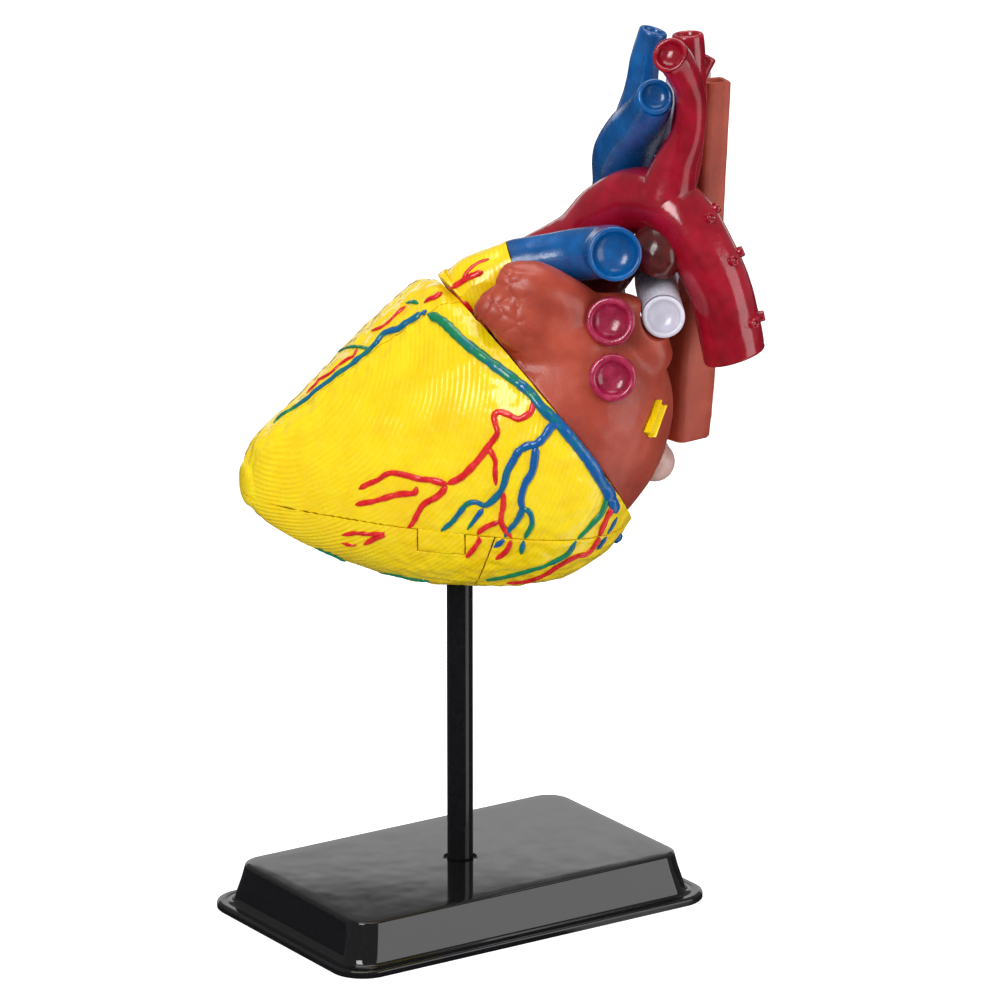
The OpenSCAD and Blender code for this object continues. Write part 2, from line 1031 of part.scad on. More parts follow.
color(black) stand_base();
color(black) pole();
color(yellow) lower_wall_front();
color(yellow) lower_wall_rear();
color(yellow) septum();
color(yellow) valve_plate();
color(pale) mitral_valve();
color(pale) tricuspid_valve();
color(crimson) aortic_valve();
color(blue) pulmonary_valve();
color(brick) left_papillary_muscles();
color(brick) right_papillary_muscles();
color(yellow) pulmonary_outflow();
color(brick) right_atrium();
color(brick) right_auricle();
color(crimson) right_pulmonary_veins();
color(blue) inferior_vena_cava();
color(blue) right_pulmonary_artery();
color(crimson) aorta();
color(crimson) intercostal_stubs();
color(crimson) arch_branches();
color(crimson) arterial_ligament();
color(yellow) left_ventricle_wall();
color(yellow) locking_tab();
color(yellow) right_ventricle_wall();
color(brick) left_atrium();
color(brick) left_auricle();
color(crimson) left_pulmonary_veins();
color(yellow) atrium_clip();
color(blue) pulmonary_trunk();
color(blue) vena_cava_superior();
color(pale) trachea();
color(pale) left_bronchus();
color(pale) right_bronchus();
color(brick) esophagus();
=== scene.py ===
"""Looks of the take-apart heart model on its black stand.

Lengths are millimetres in the heart's own frame until to_row() turns them into the
frame's metres: +X runs to the heart's rear, +Y to its right side and +Z up.
"""

import math

import bmesh
import bpy
import numpy as np
from mathutils import Matrix, Vector, noise
from mathutils.bvhtree import BVHTree


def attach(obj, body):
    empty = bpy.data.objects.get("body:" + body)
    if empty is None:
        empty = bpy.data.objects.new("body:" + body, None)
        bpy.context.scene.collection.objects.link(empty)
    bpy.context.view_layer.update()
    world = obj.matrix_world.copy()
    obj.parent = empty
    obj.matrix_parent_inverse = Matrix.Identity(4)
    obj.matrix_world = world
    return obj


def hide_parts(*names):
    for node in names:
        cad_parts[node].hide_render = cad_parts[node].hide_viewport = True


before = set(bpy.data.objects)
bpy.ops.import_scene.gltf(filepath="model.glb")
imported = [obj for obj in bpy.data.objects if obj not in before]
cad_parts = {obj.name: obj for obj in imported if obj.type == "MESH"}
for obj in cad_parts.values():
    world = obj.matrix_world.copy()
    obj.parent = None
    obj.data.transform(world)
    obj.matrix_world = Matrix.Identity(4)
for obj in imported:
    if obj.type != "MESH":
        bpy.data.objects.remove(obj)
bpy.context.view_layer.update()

MM = 0.001
X, Y, Z = np.eye(3)
HEADING = math.radians(-33.7)
TURN = np.array([
    [math.cos(HEADING), -math.sin(HEADING), 0.0],
    [math.sin(HEADING), math.cos(HEADING), 0.0],
    [0.0, 0.0, 1.0],
])
SEAM = 0.3

# ---------------------------------------------------------------- vectors and curves


def vec(*v):
    return np.array(v, float)


def unit(v):
    v = np.asarray(v, float)
    return v / np.linalg.norm(v)


def to_row(points):
    """Heart frame in millimetres to the row frame in metres."""
    return np.asarray(points, float) @ TURN.T * MM


def curve(rows, t):
    """The row at place t, counted in rows, of a smooth curve through all the rows."""
    last = len(rows) - 1
    i = min(int(math.floor(t)), last - 1)
    f = t - i
    a, b, c, d = (rows[max(0, min(last, i + k))] for k in (-1, 0, 1, 2))
    return b + 0.5 * f * (c - a + f * (2 * a - 5 * b + 4 * c - d + f * (3 * (b - c) + d - a)))


def smooth(rows, steps):
    rows = np.array(rows, float)
    count = steps * (len(rows) - 1)
    return np.array([curve(rows, k / steps) for k in range(count + 1)])


def lumps(p, size, seed=0.0):
    """Smooth noise from -1 to 1 with bumps of about the given size."""
    return noise.noise(Vector(p) / size + Vector((seed, 2.7 * seed, -1.3 * seed)))


def step_up(x, low, high):
    """0 below low, 1 above high, smooth between."""
    t = min(1.0, max(0.0, (x - low) / (high - low)))
    return t * t * (3 - 2 * t)


# ---------------------------------------------------------------- mesh helpers

def add_object(name, data):
    """A new object in the scene."""
    made = bpy.data.objects.new(name, data)
    bpy.context.scene.collection.objects.link(made)
    return made


def close_holes(bm):
    """Fills every open edge loop with one face."""
    bmesh.ops.holes_fill(bm, edges=[e for e in bm.edges if e.is_boundary], sides=0)


def finish_piece(name, bm, body, nodes=(), material=None, angle=40):
    """Turns a bmesh in heart millimetres into a piece that rides on a body."""
    bmesh.ops.recalc_face_normals(bm, faces=bm.faces)
    mesh = bpy.data.meshes.new(name)
    bm.to_mesh(mesh)
    bm.free()
    co = np.zeros(len(mesh.vertices) * 3)
    mesh.vertices.foreach_get("co", co)
    mesh.vertices.foreach_set("co", to_row(co.reshape(-1, 3)).ravel())
    mesh.polygons.foreach_set("use_smooth", [True] * len(mesh.polygons))
    mesh.set_sharp_from_angle(angle=math.radians(angle))
    piece = add_object(name, mesh)
    mesh.materials.append(material)
    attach(piece, body)
    if nodes:
        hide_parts(*nodes)
    return piece


def add_skin(bm, rings, cap_start=True, cap_end=True):
    """Adds rings of equal length, joined into a skin; a ring of one point closes to a tip."""
    layers = [[bm.verts.new(p) for p in ring] for ring in rings]
    for low, high in zip(layers, layers[1:]):
        n = max(len(low), len(high))
        for j in range(n):
            k = (j + 1) % n
            corners = [low[j % len(low)], low[k % len(low)], high[k % len(high)], high[j % len(high)]]
            corners = [c for i, c in enumerate(corners) if c not in corners[:i]]
            bm.faces.new(corners)
    if cap_start and len(layers[0]) > 2:
        bm.faces.new(layers[0][::-1])
    if cap_end and len(layers[-1]) > 2:
        bm.faces.new(layers[-1])
    return bm


def ring(c, d, rx, ry, ref, n, turn=0.0):
    u = unit(np.cross(ref, d))
    v = unit(np.cross(d, u))
    a = np.linspace(0, 2 * math.pi, n, endpoint=False) + turn
    return c + np.outer(np.cos(a), u) * rx + np.outer(np.sin(a), v) * ry


LIP = 1.1
# the rounded rim of a hollow vessel end: distance along the vessel, share of the lip crossed
RIM = [(-0.9, 0.0), (-0.35, 0.0), (0.0, 0.06), (0.2, 0.2), (0.3, 0.42), (0.3, 0.62), (0.18, 0.84), (-0.05, 1.0)]


def cup_rings(end, d, ref, n, depth, lip=LIP):
    """The rim and the bowl that hollow a vessel's end."""
    c, r = end[:3], end[3]
    rings = [ring(c + d * off, d, r - lip * share, r - lip * share, ref, n) for off, share in RIM]
    inner = r - lip
    for k in range(1, 8):
        a = math.radians(90 * k / 8)
        rings.append(ring(c - d * (0.05 + depth * math.sin(a)), d, inner * math.cos(a) ** 0.8,
                          inner * math.cos(a) ** 0.8, ref, n))
    rings.append([c - d * (0.05 + depth)])
    return rings


def vessel_rings(path, ref, steps=10, n=48, depth=0.0, face=None, root=None, wobble=0.12, lip=LIP):
    """Rings of a vessel along [x, y, z, radius] rows, hollowed at its last end."""
    fine = smooth(path, steps)
    last = len(fine) - 1
    tangent = [unit(fine[min(last, i + 1)][:3] - fine[max(0, i - 1)][:3]) for i in range(last + 1)]
    tangent[0] = tangent[0] if root is None else unit(root)
    tangent[last] = tangent[last] if face is None else unit(face)
    stop = last if depth > 0 else last + 1
    reach = 0.9 if depth > 0 else 0.0
    rings = []
    for i in range(stop):
        c, r = fine[i][:3], fine[i][3]
        if reach and np.dot(fine[last][:3] - c, tangent[last]) < reach + 0.2:
            continue
        pts = ring(c, tangent[i], r, r, ref, n)
        for j, p in enumerate(pts):
            out = (p - c) / r
            pts[j] = p + out * wobble * (lumps(p, 6.0, 3.0) + 0.4 * lumps(p, 2.2, 5.0))
        rings.append(pts)
    if depth > 0:
        rings += cup_rings(fine[last], tangent[last], ref, n, depth, lip)
    return rings


# ---------------------------------------------------------------- the heart's planes

PART_SLOPE = -0.035
PART_Z = 97.2
ACROSS = vec(0.3, -1, 0.3 * PART_SLOPE)
VALVE_C = vec(16.6, 0, 121.1)
VALVE_LEAN = math.radians(37.1)
VALVE_UP = vec(-math.sin(VALVE_LEAN), 0, math.cos(VALVE_LEAN))
VALVE_N = unit(np.cross(VALVE_UP, ACROSS))
VALVE_SIDE = np.cross(VALVE_N, VALVE_UP)

PART_N = unit(vec(-PART_SLOPE, 0, 1))
DIVIDE_C = vec(0, 0, 113.4)
DIVIDE_N = vec(0, math.cos(math.radians(17.1)), math.sin(math.radians(17.1)))
REAR_C = vec(3.5, 0, 81)
REAR_N = vec(math.cos(math.radians(16)), 0, -math.sin(math.radians(16)))
TAB_X = (-9.2, 1.2)
TAB_DROP = 5.4
TAB_FRONT = -20.0


def on_valve(a, b, c=0.0):
    return VALVE_C + a * VALVE_UP + b * VALVE_SIDE + c * VALVE_N


def over_parting(p):
    return float(np.dot(p - vec(0, 0, PART_Z), PART_N))


def right_of_divide(p):
    return float(np.dot(p - DIVIDE_C, DIVIDE_N))


def behind_cut(p):
    return float(np.dot(p - REAR_C, REAR_N))


def over_valve(p):
    return float(np.dot(p - VALVE_C, VALVE_N))


def in_tab(p, grow=0.0):
    return (TAB_X[0] - grow < p[0] < TAB_X[1] + grow and p[1] < TAB_FRONT
            and p[2] > PART_Z - TAB_DROP - grow)


# ---------------------------------------------------------------- the photograph's camera

CAM_TARGET = vec(9.2, 0, 97.0)
CAM_RANGE = 1500.0
CAM_DROP = math.radians(16.4)
CAM_FOCAL_PX = 6590.0
PHOTO_PX = 1000
CAM_AHEAD = vec(0, math.cos(CAM_DROP), -math.sin(CAM_DROP))
CAM_UP = vec(0, math.sin(CAM_DROP), math.cos(CAM_DROP))
CAM_RIGHT = X
CAM_PLACE = CAM_TARGET - CAM_RANGE * CAM_AHEAD


def sight(px, py):
    """Direction of the line of sight through a point of the photograph."""
    return unit(CAM_AHEAD + CAM_RIGHT * (px - PHOTO_PX / 2) / CAM_FOCAL_PX
                - CAM_UP * (py - PHOTO_PX / 2) / CAM_FOCAL_PX)


def make_camera():
    data = bpy.data.cameras.new("camera")
    data.sensor_width = 36
    data.lens = data.sensor_width * CAM_FOCAL_PX / PHOTO_PX
    data.clip_end = 20
    camera = add_object("camera", data)
    right, up, back = (Vector(TURN @ v) for v in (CAM_RIGHT, CAM_UP, -CAM_AHEAD))
    camera.matrix_world = Matrix.Translation(Vector(to_row(CAM_PLACE))) @ Matrix(
        (right, up, back)).transposed().to_4x4()
    bpy.context.scene.camera = camera


# ---------------------------------------------------------------- materials


def srgb(r, g, b):
    """A colour read off the photograph, as linear values."""
    def linear(c):
        c /= 255
        return c / 12.92 if c <= 0.04045 else ((c + 0.055) / 1.055) ** 2.4
    return (linear(r), linear(g), linear(b), 1.0)


class Shader:
    """A small helper that builds one procedural material."""

    def __init__(self, name):
        self.material = bpy.data.materials.new(name)
        self.material.use_nodes = True
        self.tree = self.material.node_tree
        self.shader = self.tree.nodes["Principled BSDF"]
        self.coords = self.add("ShaderNodeTexCoord").outputs["Object"]
        self.bump_chain = None

    def add(self, kind, **values):
        node = self.tree.nodes.new(kind)
        for key, value in values.items():
            setattr(node, key, value)
        return node

    def link(self, a, b):
        self.tree.links.new(a, b)

    def noise(self, size_mm, detail=3.0, rough=0.55, coords=None, distortion=0.0):
        node = self.add("ShaderNodeTexNoise")
        node.inputs["Scale"].default_value = 1.0 / (size_mm * MM)
        node.inputs["Detail"].default_value = detail
        node.inputs["Roughness"].default_value = rough
        node.inputs["Distortion"].default_value = distortion
        self.link(coords or self.coords, node.inputs["Vector"])
        return node.outputs["Fac"]

    def ramp(self, fac, stops):
        """stops: (place, colour) pairs."""
        node = self.add("ShaderNodeValToRGB")
        elements = node.color_ramp.elements
        while len(elements) < len(stops):
            elements.new(0.5)
        for element, (place, colour) in zip(elements, stops):
            element.position = place
            element.color = colour
        self.link(fac, node.inputs["Fac"])
        return node.outputs["Color"]

    def math(self, operation, a, b=None):
        node = self.add("ShaderNodeMath", operation=operation)
        for socket, value in zip(node.inputs, (a, b)):
            if value is None:
                continue
            if isinstance(value, (int, float)):
                socket.default_value = value
            else:
                self.link(value, socket)
        return node.outputs["Value"]

    def mix(self, fac, a, b):
        node = self.add("ShaderNodeMix", data_type="RGBA")
        for socket, value in zip((node.inputs[0], node.inputs[6], node.inputs[7]), (fac, a, b)):
            if isinstance(value, (int, float, tuple)):
                socket.default_value = value
            else:
                self.link(value, socket)
        return node.outputs[2]

    def bump(self, height, depth_mm, strength=1.0):
        node = self.add("ShaderNodeBump")
        node.inputs["Strength"].default_value = strength
        node.inputs["Distance"].default_value = depth_mm * MM
        self.link(height, node.inputs["Height"])
        if self.bump_chain is not None:
            self.link(self.bump_chain, node.inputs["Normal"])
        self.bump_chain = node.outputs["Normal"]
        self.link(self.bump_chain, self.shader.inputs["Normal"])

    def set(self, **values):
        for key, value in values.items():
            self.shader.inputs[key.replace("_", " ")].default_value = value
        return self

    def base(self, colour):
        if isinstance(colour, tuple):
            self.shader.inputs["Base Color"].default_value = colour
        else:
            self.link(colour, self.shader.inputs["Base Color"])

    def roughness(self, low, high, size_mm):
        node = self.add("ShaderNodeMapRange")
        node.inputs["From Min"].default_value = 0.3
        node.inputs["From Max"].default_value = 0.7
        node.inputs["To Min"].default_value = low
        node.inputs["To Max"].default_value = high
        self.link(self.noise(size_mm), node.inputs["Value"])
        self.link(node.outputs["Result"], self.shader.inputs["Roughness"])


def painted(name, dark, main, light, rough, coat, patch_mm=7.0, grain_mm=0.7, grain=0.03, dents=0.12):
    """Hand-painted moulded plastic: uneven coats of one colour over small dents."""
    s = Shader(name)
    patches = s.noise(patch_mm, 4.0, 0.6)
    s.base(s.ramp(patches, [(0.3, dark), (0.5, main), (0.72, light)]))
    s.roughness(rough[0], rough[1], 3.0)
    s.bump(s.noise(4.0, 2.0), dents)
    s.bump(s.noise(grain_mm, 2.0), grain)
    s.set(Coat_Weight=coat, Coat_Roughness=0.12)
    return s.material


STRIPE_C = vec(-48.8, 0, 137.3)
STRIPE_PITCH = 1.1


def yellow_muscle():
    """Bright yellow plastic with painted shade: a darker ochre mixed in along the muscle fibre stripes."""
    s = Shader("yellow_muscle")
    turn = s.add("ShaderNodeVectorRotate", rotation_type="Z_AXIS")
    turn.inputs["Angle"].default_value = -HEADING
    s.link(s.coords, turn.inputs["Vector"])
    split = s.add("ShaderNodeSeparateXYZ")
    s.link(turn.outputs["Vector"], split.inputs["Vector"])
    dx = s.math("SUBTRACT", split.outputs["X"], float(STRIPE_C[0] * MM))
    dz = s.math("SUBTRACT", split.outputs["Z"], float(STRIPE_C[2] * MM))
    reach = s.math("SQRT", s.math("ADD", s.math("MULTIPLY", dx, dx), s.math("MULTIPLY", dz, dz)))
    sway = s.math("MULTIPLY", s.noise(14.0, 2.0), 1.6 * MM)
    phase = s.math("MULTIPLY", s.math("ADD", reach, sway), 2 * math.pi / (STRIPE_PITCH * MM))
    stripes = s.math("ADD", s.math("MULTIPLY", s.math("SINE", phase), 0.5), 0.5)
    left = s.math("GREATER_THAN", s.math("MULTIPLY", split.outputs["Y"], -1.0), 0.004)
    stripes = s.math("MULTIPLY", stripes, left)
    patches = s.noise(9.0, 4.0, 0.6)
    tone = s.ramp(patches, [(0.28, srgb(250, 208, 6)), (0.5, srgb(255, 221, 8)), (0.75, srgb(255, 230, 22))])
    # painted shade: the stripes mix a darker ochre into the yellow
    s.base(s.mix(s.math("MULTIPLY", stripes, 0.12), tone, srgb(232, 176, 6)))
    s.roughness(0.16, 0.34, 2.4)
    s.bump(stripes, 0.05)
    s.bump(s.noise(2.6, 3.0), 0.12)
    s.bump(s.noise(0.6, 2.0), 0.02)
    s.set(Coat_Weight=0.5, Coat_Roughness=0.1)
    return s.material


def vein_paint():
    """Blue and green paint that run into each other."""
    s = Shader("coronary_vein")
    tint = s.add("ShaderNodeAttribute", attribute_name="tint").outputs["Fac"]
    blotch = s.math("ADD", s.math("MULTIPLY", s.noise(3.2, 3.0), 1.0), -0.5)
    place = s.math("ADD", tint, blotch)
    s.base(s.ramp(place, [(0.25, srgb(0, 88, 160)), (0.5, srgb(0, 104, 140)), (0.7, srgb(10, 128, 84))]))
    s.roughness(0.15, 0.4, 1.5)
    s.bump(s.noise(1.1, 2.0), 0.1)
    s.set(Coat_Weight=0.5, Coat_Roughness=0.1)
    return s.material


def black_gloss():
    """Glossy black moulded plastic with faint dust and hairline scuffs."""
    s = Shader("black_gloss")
    dust = s.noise(1.2, 5.0, 0.7)
    s.base(s.ramp(dust, [(0.45, srgb(17, 17, 19)), (0.7, srgb(25, 25, 28))]))
    s.roughness(0.04, 0.1, 6.0)
    s.bump(s.noise(16.0, 2.0), 0.05)
    s.bump(s.noise(0.5, 1.0), 0.002)
    s.set(Coat_Weight=0.3, Coat_Roughness=0.04)
    return s.material


MAT = {
    "yellow": yellow_muscle(),
    "brick": painted("brick_red", srgb(150, 52, 36), srgb(168, 62, 42), srgb(184, 76, 54), (0.34, 0.48), 0.14,
        patch_mm=10.0, grain=0.05, grain_mm=0.45),
    "esophagus": painted("esophagus_red", srgb(158, 60, 42), srgb(178, 72, 50), srgb(196, 88, 64), (0.42,
        0.58), 0.05, patch_mm=12.0, grain=0.06, grain_mm=0.4),
    "crimson": painted("crimson", srgb(128, 8, 26), srgb(152, 10, 34), srgb(174, 16, 46), (0.12, 0.24), 0.5),
    "magenta": painted("vein_rim", srgb(130, 18, 48), srgb(158, 28, 66), srgb(186, 46, 88), (0.14, 0.3), 0.6,
        patch_mm=3.0, grain_mm=1.0, grain=0.08),
    "dark_red": painted("dark_red", srgb(60, 18, 18), srgb(92, 26, 26), srgb(120, 36, 32), (0.14, 0.3), 0.5),
    "blue": painted("vein_blue", srgb(0, 66, 124), srgb(2, 82, 148), srgb(10, 100, 172), (0.18, 0.34), 0.45),
    "pale": painted("pale_airway", srgb(196, 194, 208), srgb(214, 212, 226), srgb(232, 230, 240), (0.2, 0.36),
        0.4),
    "artery": painted("coronary_artery", srgb(196, 14, 30), srgb(222, 24, 34), srgb(238, 60, 48), (0.18,
        0.36), 0.4, patch_mm=2.4, grain_mm=1.0, grain=0.08),
    "veins": vein_paint(),
    # painted highlight: the atrium's brick red, lightened where light falls on its lower lobe
    "lobe": painted("lobe_painted_highlight", srgb(190, 140, 128), srgb(206, 166, 156), srgb(220, 186, 176), (0.25, 0.4),
        0.3),
    "flesh": painted("inner_flesh", srgb(176, 78, 62), srgb(196, 96, 76), srgb(210, 116, 92), (0.3, 0.45),
        0.2),
    "black": black_gloss(),
}

# ---------------------------------------------------------------- ventricles

BELLY = [
    [0.000, 0.0, 33.3, 37.1],
    [0.075, -4.1, 35.6, 32.3],
    [0.202, -9.8, 35.1, 27.7],
    [0.378, -14.4, 31.0, 23.3],
    [0.552, -17.5, 25.7, 18.6],
    [0.706, -19.2, 19.8, 14.6],
    [0.833, -19.5, 14.5, 9.7],
    [0.927, -19.5, 9.8, 5.4],
    [0.976, -20.2, 5.0, 3.4],
]
BELLY_LEN = 66.1
BELLY_H = 35.6
BELLY_DEPTH = 35.0
BELLY_TIP = 1.6
BELLY_TIP_RISE = -2.3
TIP_MERGE = 0.06  # joins the tiny faces where the rings close


def belly_rows(steps):
    """The outline's rows, with a round end added in front of the last one."""
    rows = list(smooth(BELLY, steps))
    last = rows[-1]
    for k in range(1, 7):
        a = math.radians(90 * k / 7)
        rows.append(last + vec(BELLY_TIP / BELLY_LEN * math.sin(a), BELLY_TIP_RISE * (1 - math.cos(a)), 0, 0)
                    + vec(0, 0, last[2] * (math.cos(a) - 1), 0))
    return rows


def belly_ring(row, n):
    centre = VALVE_C + vec(-BELLY_LEN * row[0], 0, row[1]) - 0.5 * SEAM * VALVE_N
    lean = math.radians(row[3])
    up = row[2] * vec(-math.sin(lean), 0, math.cos(lean))
    side = BELLY_DEPTH * (row[2] / BELLY_H) ** 0.95 * ACROSS
    a = np.linspace(0, 2 * math.pi, n, endpoint=False)
    return centre + np.outer(np.sin(a), up) + np.outer(np.cos(a), side)


def fat(p):
    """How much fat covers the muscle at p: along the valve plane, the divide and the bottom."""
    rim = step_up(over_valve(p), -13, -4)
    front = step_up(right_of_divide(p), -9, -3)
    low = step_up(-over_parting(p), -22, -12) * step_up(p[0], -24, -6)
    return max(rim, front, low)


def relief(p):
    """Height of the muscle fibres and the fat at a place on the ventricles."""
    f = fat(p)
    h = 0.42 * f * lumps(p, 2.8, 1.0) + 0.24 * lumps(p, 7.0, 2.0) + 0.04 * lumps(p, 1.1, 4.0)
    if p[1] < -4:
        reach = math.hypot(p[0] - STRIPE_C[0], p[2] - STRIPE_C[2])
        sway = 1.6 * noise.noise(Vector(p) / 14)
        h += 0.11 * (1 - f) * math.sin(2 * math.pi * (reach + sway) / STRIPE_PITCH)
    return h


def belly_surface(steps, n):
    """The ventricles' whole outer face, with its relief, as a bmesh without its flat end."""
    rows = belly_rows(steps)
    grid = np.array([belly_ring(row, n) for row in rows])
    along = np.gradient(grid, axis=0)
    round_ = np.roll(grid, -1, axis=1) - np.roll(grid, 1, axis=1)
    out = np.cross(along, round_)
    out /= np.linalg.norm(out, axis=2, keepdims=True)
    centre = grid.mean(axis=1, keepdims=True)
    out *= np.sign((out * (grid - centre)).sum(axis=2, keepdims=True).sum(axis=1, keepdims=True))
    for i in range(len(grid)):
        fade = min(1.0, (len(grid) - 1 - i) / 6)
        for j in range(n):
            grid[i, j] += out[i, j] * relief(grid[i, j]) * fade
    tip = grid[-1].mean(axis=0) - vec(0.15, 0, 0)
    bm = bmesh.new()
    add_skin(bm, list(grid) + [[tip]], cap_start=False, cap_end=False)
    bmesh.ops.remove_doubles(bm, verts=bm.verts, dist=TIP_MERGE)
    bmesh.ops.recalc_face_normals(bm, faces=bm.faces)
    far = max(bm.faces, key=lambda f: -f.calc_center_median().x)
    if far.normal.x > 0:
        bmesh.ops.reverse_faces(bm, faces=bm.faces)
    return bm


def cut(bm, place, normal, keep=None):
    """Cuts along a plane. keep is +1 or -1 for the side that stays, or None for both."""
    bmesh.ops.bisect_plane(
        bm, geom=bm.verts[:] + bm.edges[:] + bm.faces[:], dist=1e-5,
        plane_co=Vector(place), plane_no=Vector(normal),
        clear_inner=keep == 1, clear_outer=keep == -1)


def drop(bm, test):
    """Deletes the faces whose centre passes the test."""
    gone = [f for f in bm.faces if test(np.array(f.calc_center_median()))]
    bmesh.ops.delete(bm, geom=gone, context="FACES")


ODD_NORMAL = 0.7  # cosine below which a normal disagrees with its neighbours


def steady_normals(bm):
    """The vertex normals, with the few that differ much from their neighbours' evened out."""
    bm.normal_update()
    normals = {v: v.normal.copy() for v in bm.verts}
    for _ in range(3):
        for v in bm.verts:
            mean = sum((normals[e.other_vert(v)] for e in v.link_edges), Vector()).normalized()
            if normals[v].dot(mean) < ODD_NORMAL:
                normals[v] = mean
    return normals


def thicken(bm, wall, soft=0.12):
    """Gives an open face a wall behind it, and eases its outer edge."""
    normals = steady_normals(bm)
    edge_verts = {v for e in bm.edges if e.is_boundary for v in e.verts}
    border = [(e, e.link_faces[0]) for e in bm.edges if e.is_boundary]
    inner = {v: bm.verts.new(v.co - normals[v] * wall) for v in normals}
    outer_faces = list(bm.faces)
    for f in outer_faces:
        bm.faces.new([inner[v] for v in reversed(f.verts)])
    for e, f in border:
        a, b = e.verts
        loop = next(lp for lp in f.loops if lp.edge == e)
        if loop.vert == b:
            a, b = b, a
        bm.faces.new([b, a, inner[a], inner[b]])
    for v in edge_verts:
        v.co -= normals[v] * soft
    return bm


WALL = 2.4
belly = belly_surface(30, 480)
belly_tree = BVHTree.FromBMesh(belly)

above = (vec(0, 0, PART_Z) + 0.5 * SEAM * PART_N, PART_N, 1)
below = (vec(0, 0, PART_Z) - 0.5 * SEAM * PART_N, PART_N, -1)
to_left = (DIVIDE_C - 0.5 * SEAM * DIVIDE_N, DIVIDE_N, -1)
to_right = (DIVIDE_C + 0.5 * SEAM * DIVIDE_N, DIVIDE_N, 1)
to_front = (REAR_C - 0.5 * SEAM * REAR_N, REAR_N, -1)
to_rear = (REAR_C + 0.5 * SEAM * REAR_N, REAR_N, 1)


def belly_part(*planes):
    bm = belly.copy()
    for plane in planes:
        cut(bm, *plane)
    return bm


def tab_planes(grow, keep):
    """The two sides and the bottom of the locking tab, moved out by grow."""
    return [
        (vec(TAB_X[0] - grow, 0, 0), vec(1, 0, 0), keep),
        (vec(TAB_X[1] + grow, 0, 0), vec(-1, 0, 0), keep),
        (vec(0, 0, PART_Z - TAB_DROP - grow), vec(0, 0, 1), keep),
    ]


def make_ventricles():
    wall = belly_part(above, to_left)
    finish_piece("left_ventricle_shell", thicken(wall, WALL), "left_ventricle",
                 ["left_ventricle_wall"], MAT["yellow"])
    tab = belly_part((vec(0, 0, PART_Z) + 0.45 * SEAM * PART_N, PART_N, -1), *tab_planes(0, 1),
                     (vec(0, TAB_FRONT, 0), vec(0, 1, 0), -1))
    finish_piece("left_ventricle_tab", thicken(tab, WALL), "left_ventricle",
                 ["locking_tab"], MAT["yellow"])
    wall = belly_part(above, to_right)
    finish_piece("right_ventricle_shell", thicken(wall, WALL), "right_ventricle",
                 ["right_ventricle_wall"], MAT["yellow"])
    front = belly_part(below, to_front, *tab_planes(SEAM, None))
    drop(front, lambda p: in_tab(p, SEAM))
    make_lower_front(thicken(front, WALL))
    rear = belly_part(below, to_rear)
    finish_piece("lower_wall_rear_shell", thicken(rear, WALL), "heart_core",
                 ["lower_wall_rear"], MAT["yellow"])


POLE_R = 3.0
BORE_R = POLE_R + 0.05
BOSS_R = 6.0
BOSS_TOP = 100.5
POLE_TOP = 97.0
BORE_FOOT = 60.0  # below the heart's lowest point
BOSS_SINK = 1.2  # the boss starts this far inside the wall


def boolean(piece, cutter, operation="DIFFERENCE"):
    modifier = piece.modifiers.new("cut", "BOOLEAN")
    modifier.object = cutter
    modifier.operation = operation
    modifier.solver = "EXACT"
    graph = bpy.context.evaluated_depsgraph_get()
    mesh = bpy.data.meshes.new_from_object(piece.evaluated_get(graph))
    piece.modifiers.clear()
    piece.data = mesh
    bpy.data.objects.remove(cutter)


def make_lower_front(bm):
    """The front lower wall, with the hole and the boss that take the pole's tip."""
    shell = finish_piece("lower_wall_front_shell", bm, "heart_core",
                         ["lower_wall_front"], MAT["yellow"])
    tool = bmesh.new()
    add_skin(tool, [ring(vec(0, 0, z), Z, BORE_R, BORE_R, X, 48) for z in (BORE_FOOT, POLE_TOP - 1)])
    bmesh.ops.recalc_face_normals(tool, faces=tool.faces)
    mesh = bpy.data.meshes.new("bore_tool")
    tool.to_mesh(mesh)
    tool.free()
    mesh.transform(Matrix.Scale(MM, 4))
    cutter = add_object("bore_tool", mesh)
    boolean(shell, cutter)
    floor = belly_tree.ray_cast(Vector((0, 0, BORE_FOOT)), Vector(Z))[0].z + BOSS_SINK
    profile = [(BORE_R, floor), (BORE_R, POLE_TOP + SEAM), (0.0, POLE_TOP + SEAM), (0.0, BOSS_TOP)]
    profile += [(BOSS_R - 0.8, BOSS_TOP), (BOSS_R - 0.25, BOSS_TOP - 0.25), (BOSS_R, BOSS_TOP - 0.8), (BOSS_R, floor)]
    boss = bmesh.new()
    rings = [ring(vec(0, 0, z), Z, max(r, 0.01), max(r, 0.01), X, 48) for r, z in profile]
    add_skin(boss, rings + [rings[0]], cap_start=False, cap_end=False)
    bmesh.ops.remove_doubles(boss, verts=boss.verts, dist=0.002)
    finish_piece("pole_boss", boss, "heart_core", (), MAT["yellow"])


# ---------------------------------------------------------------- coronary vessels

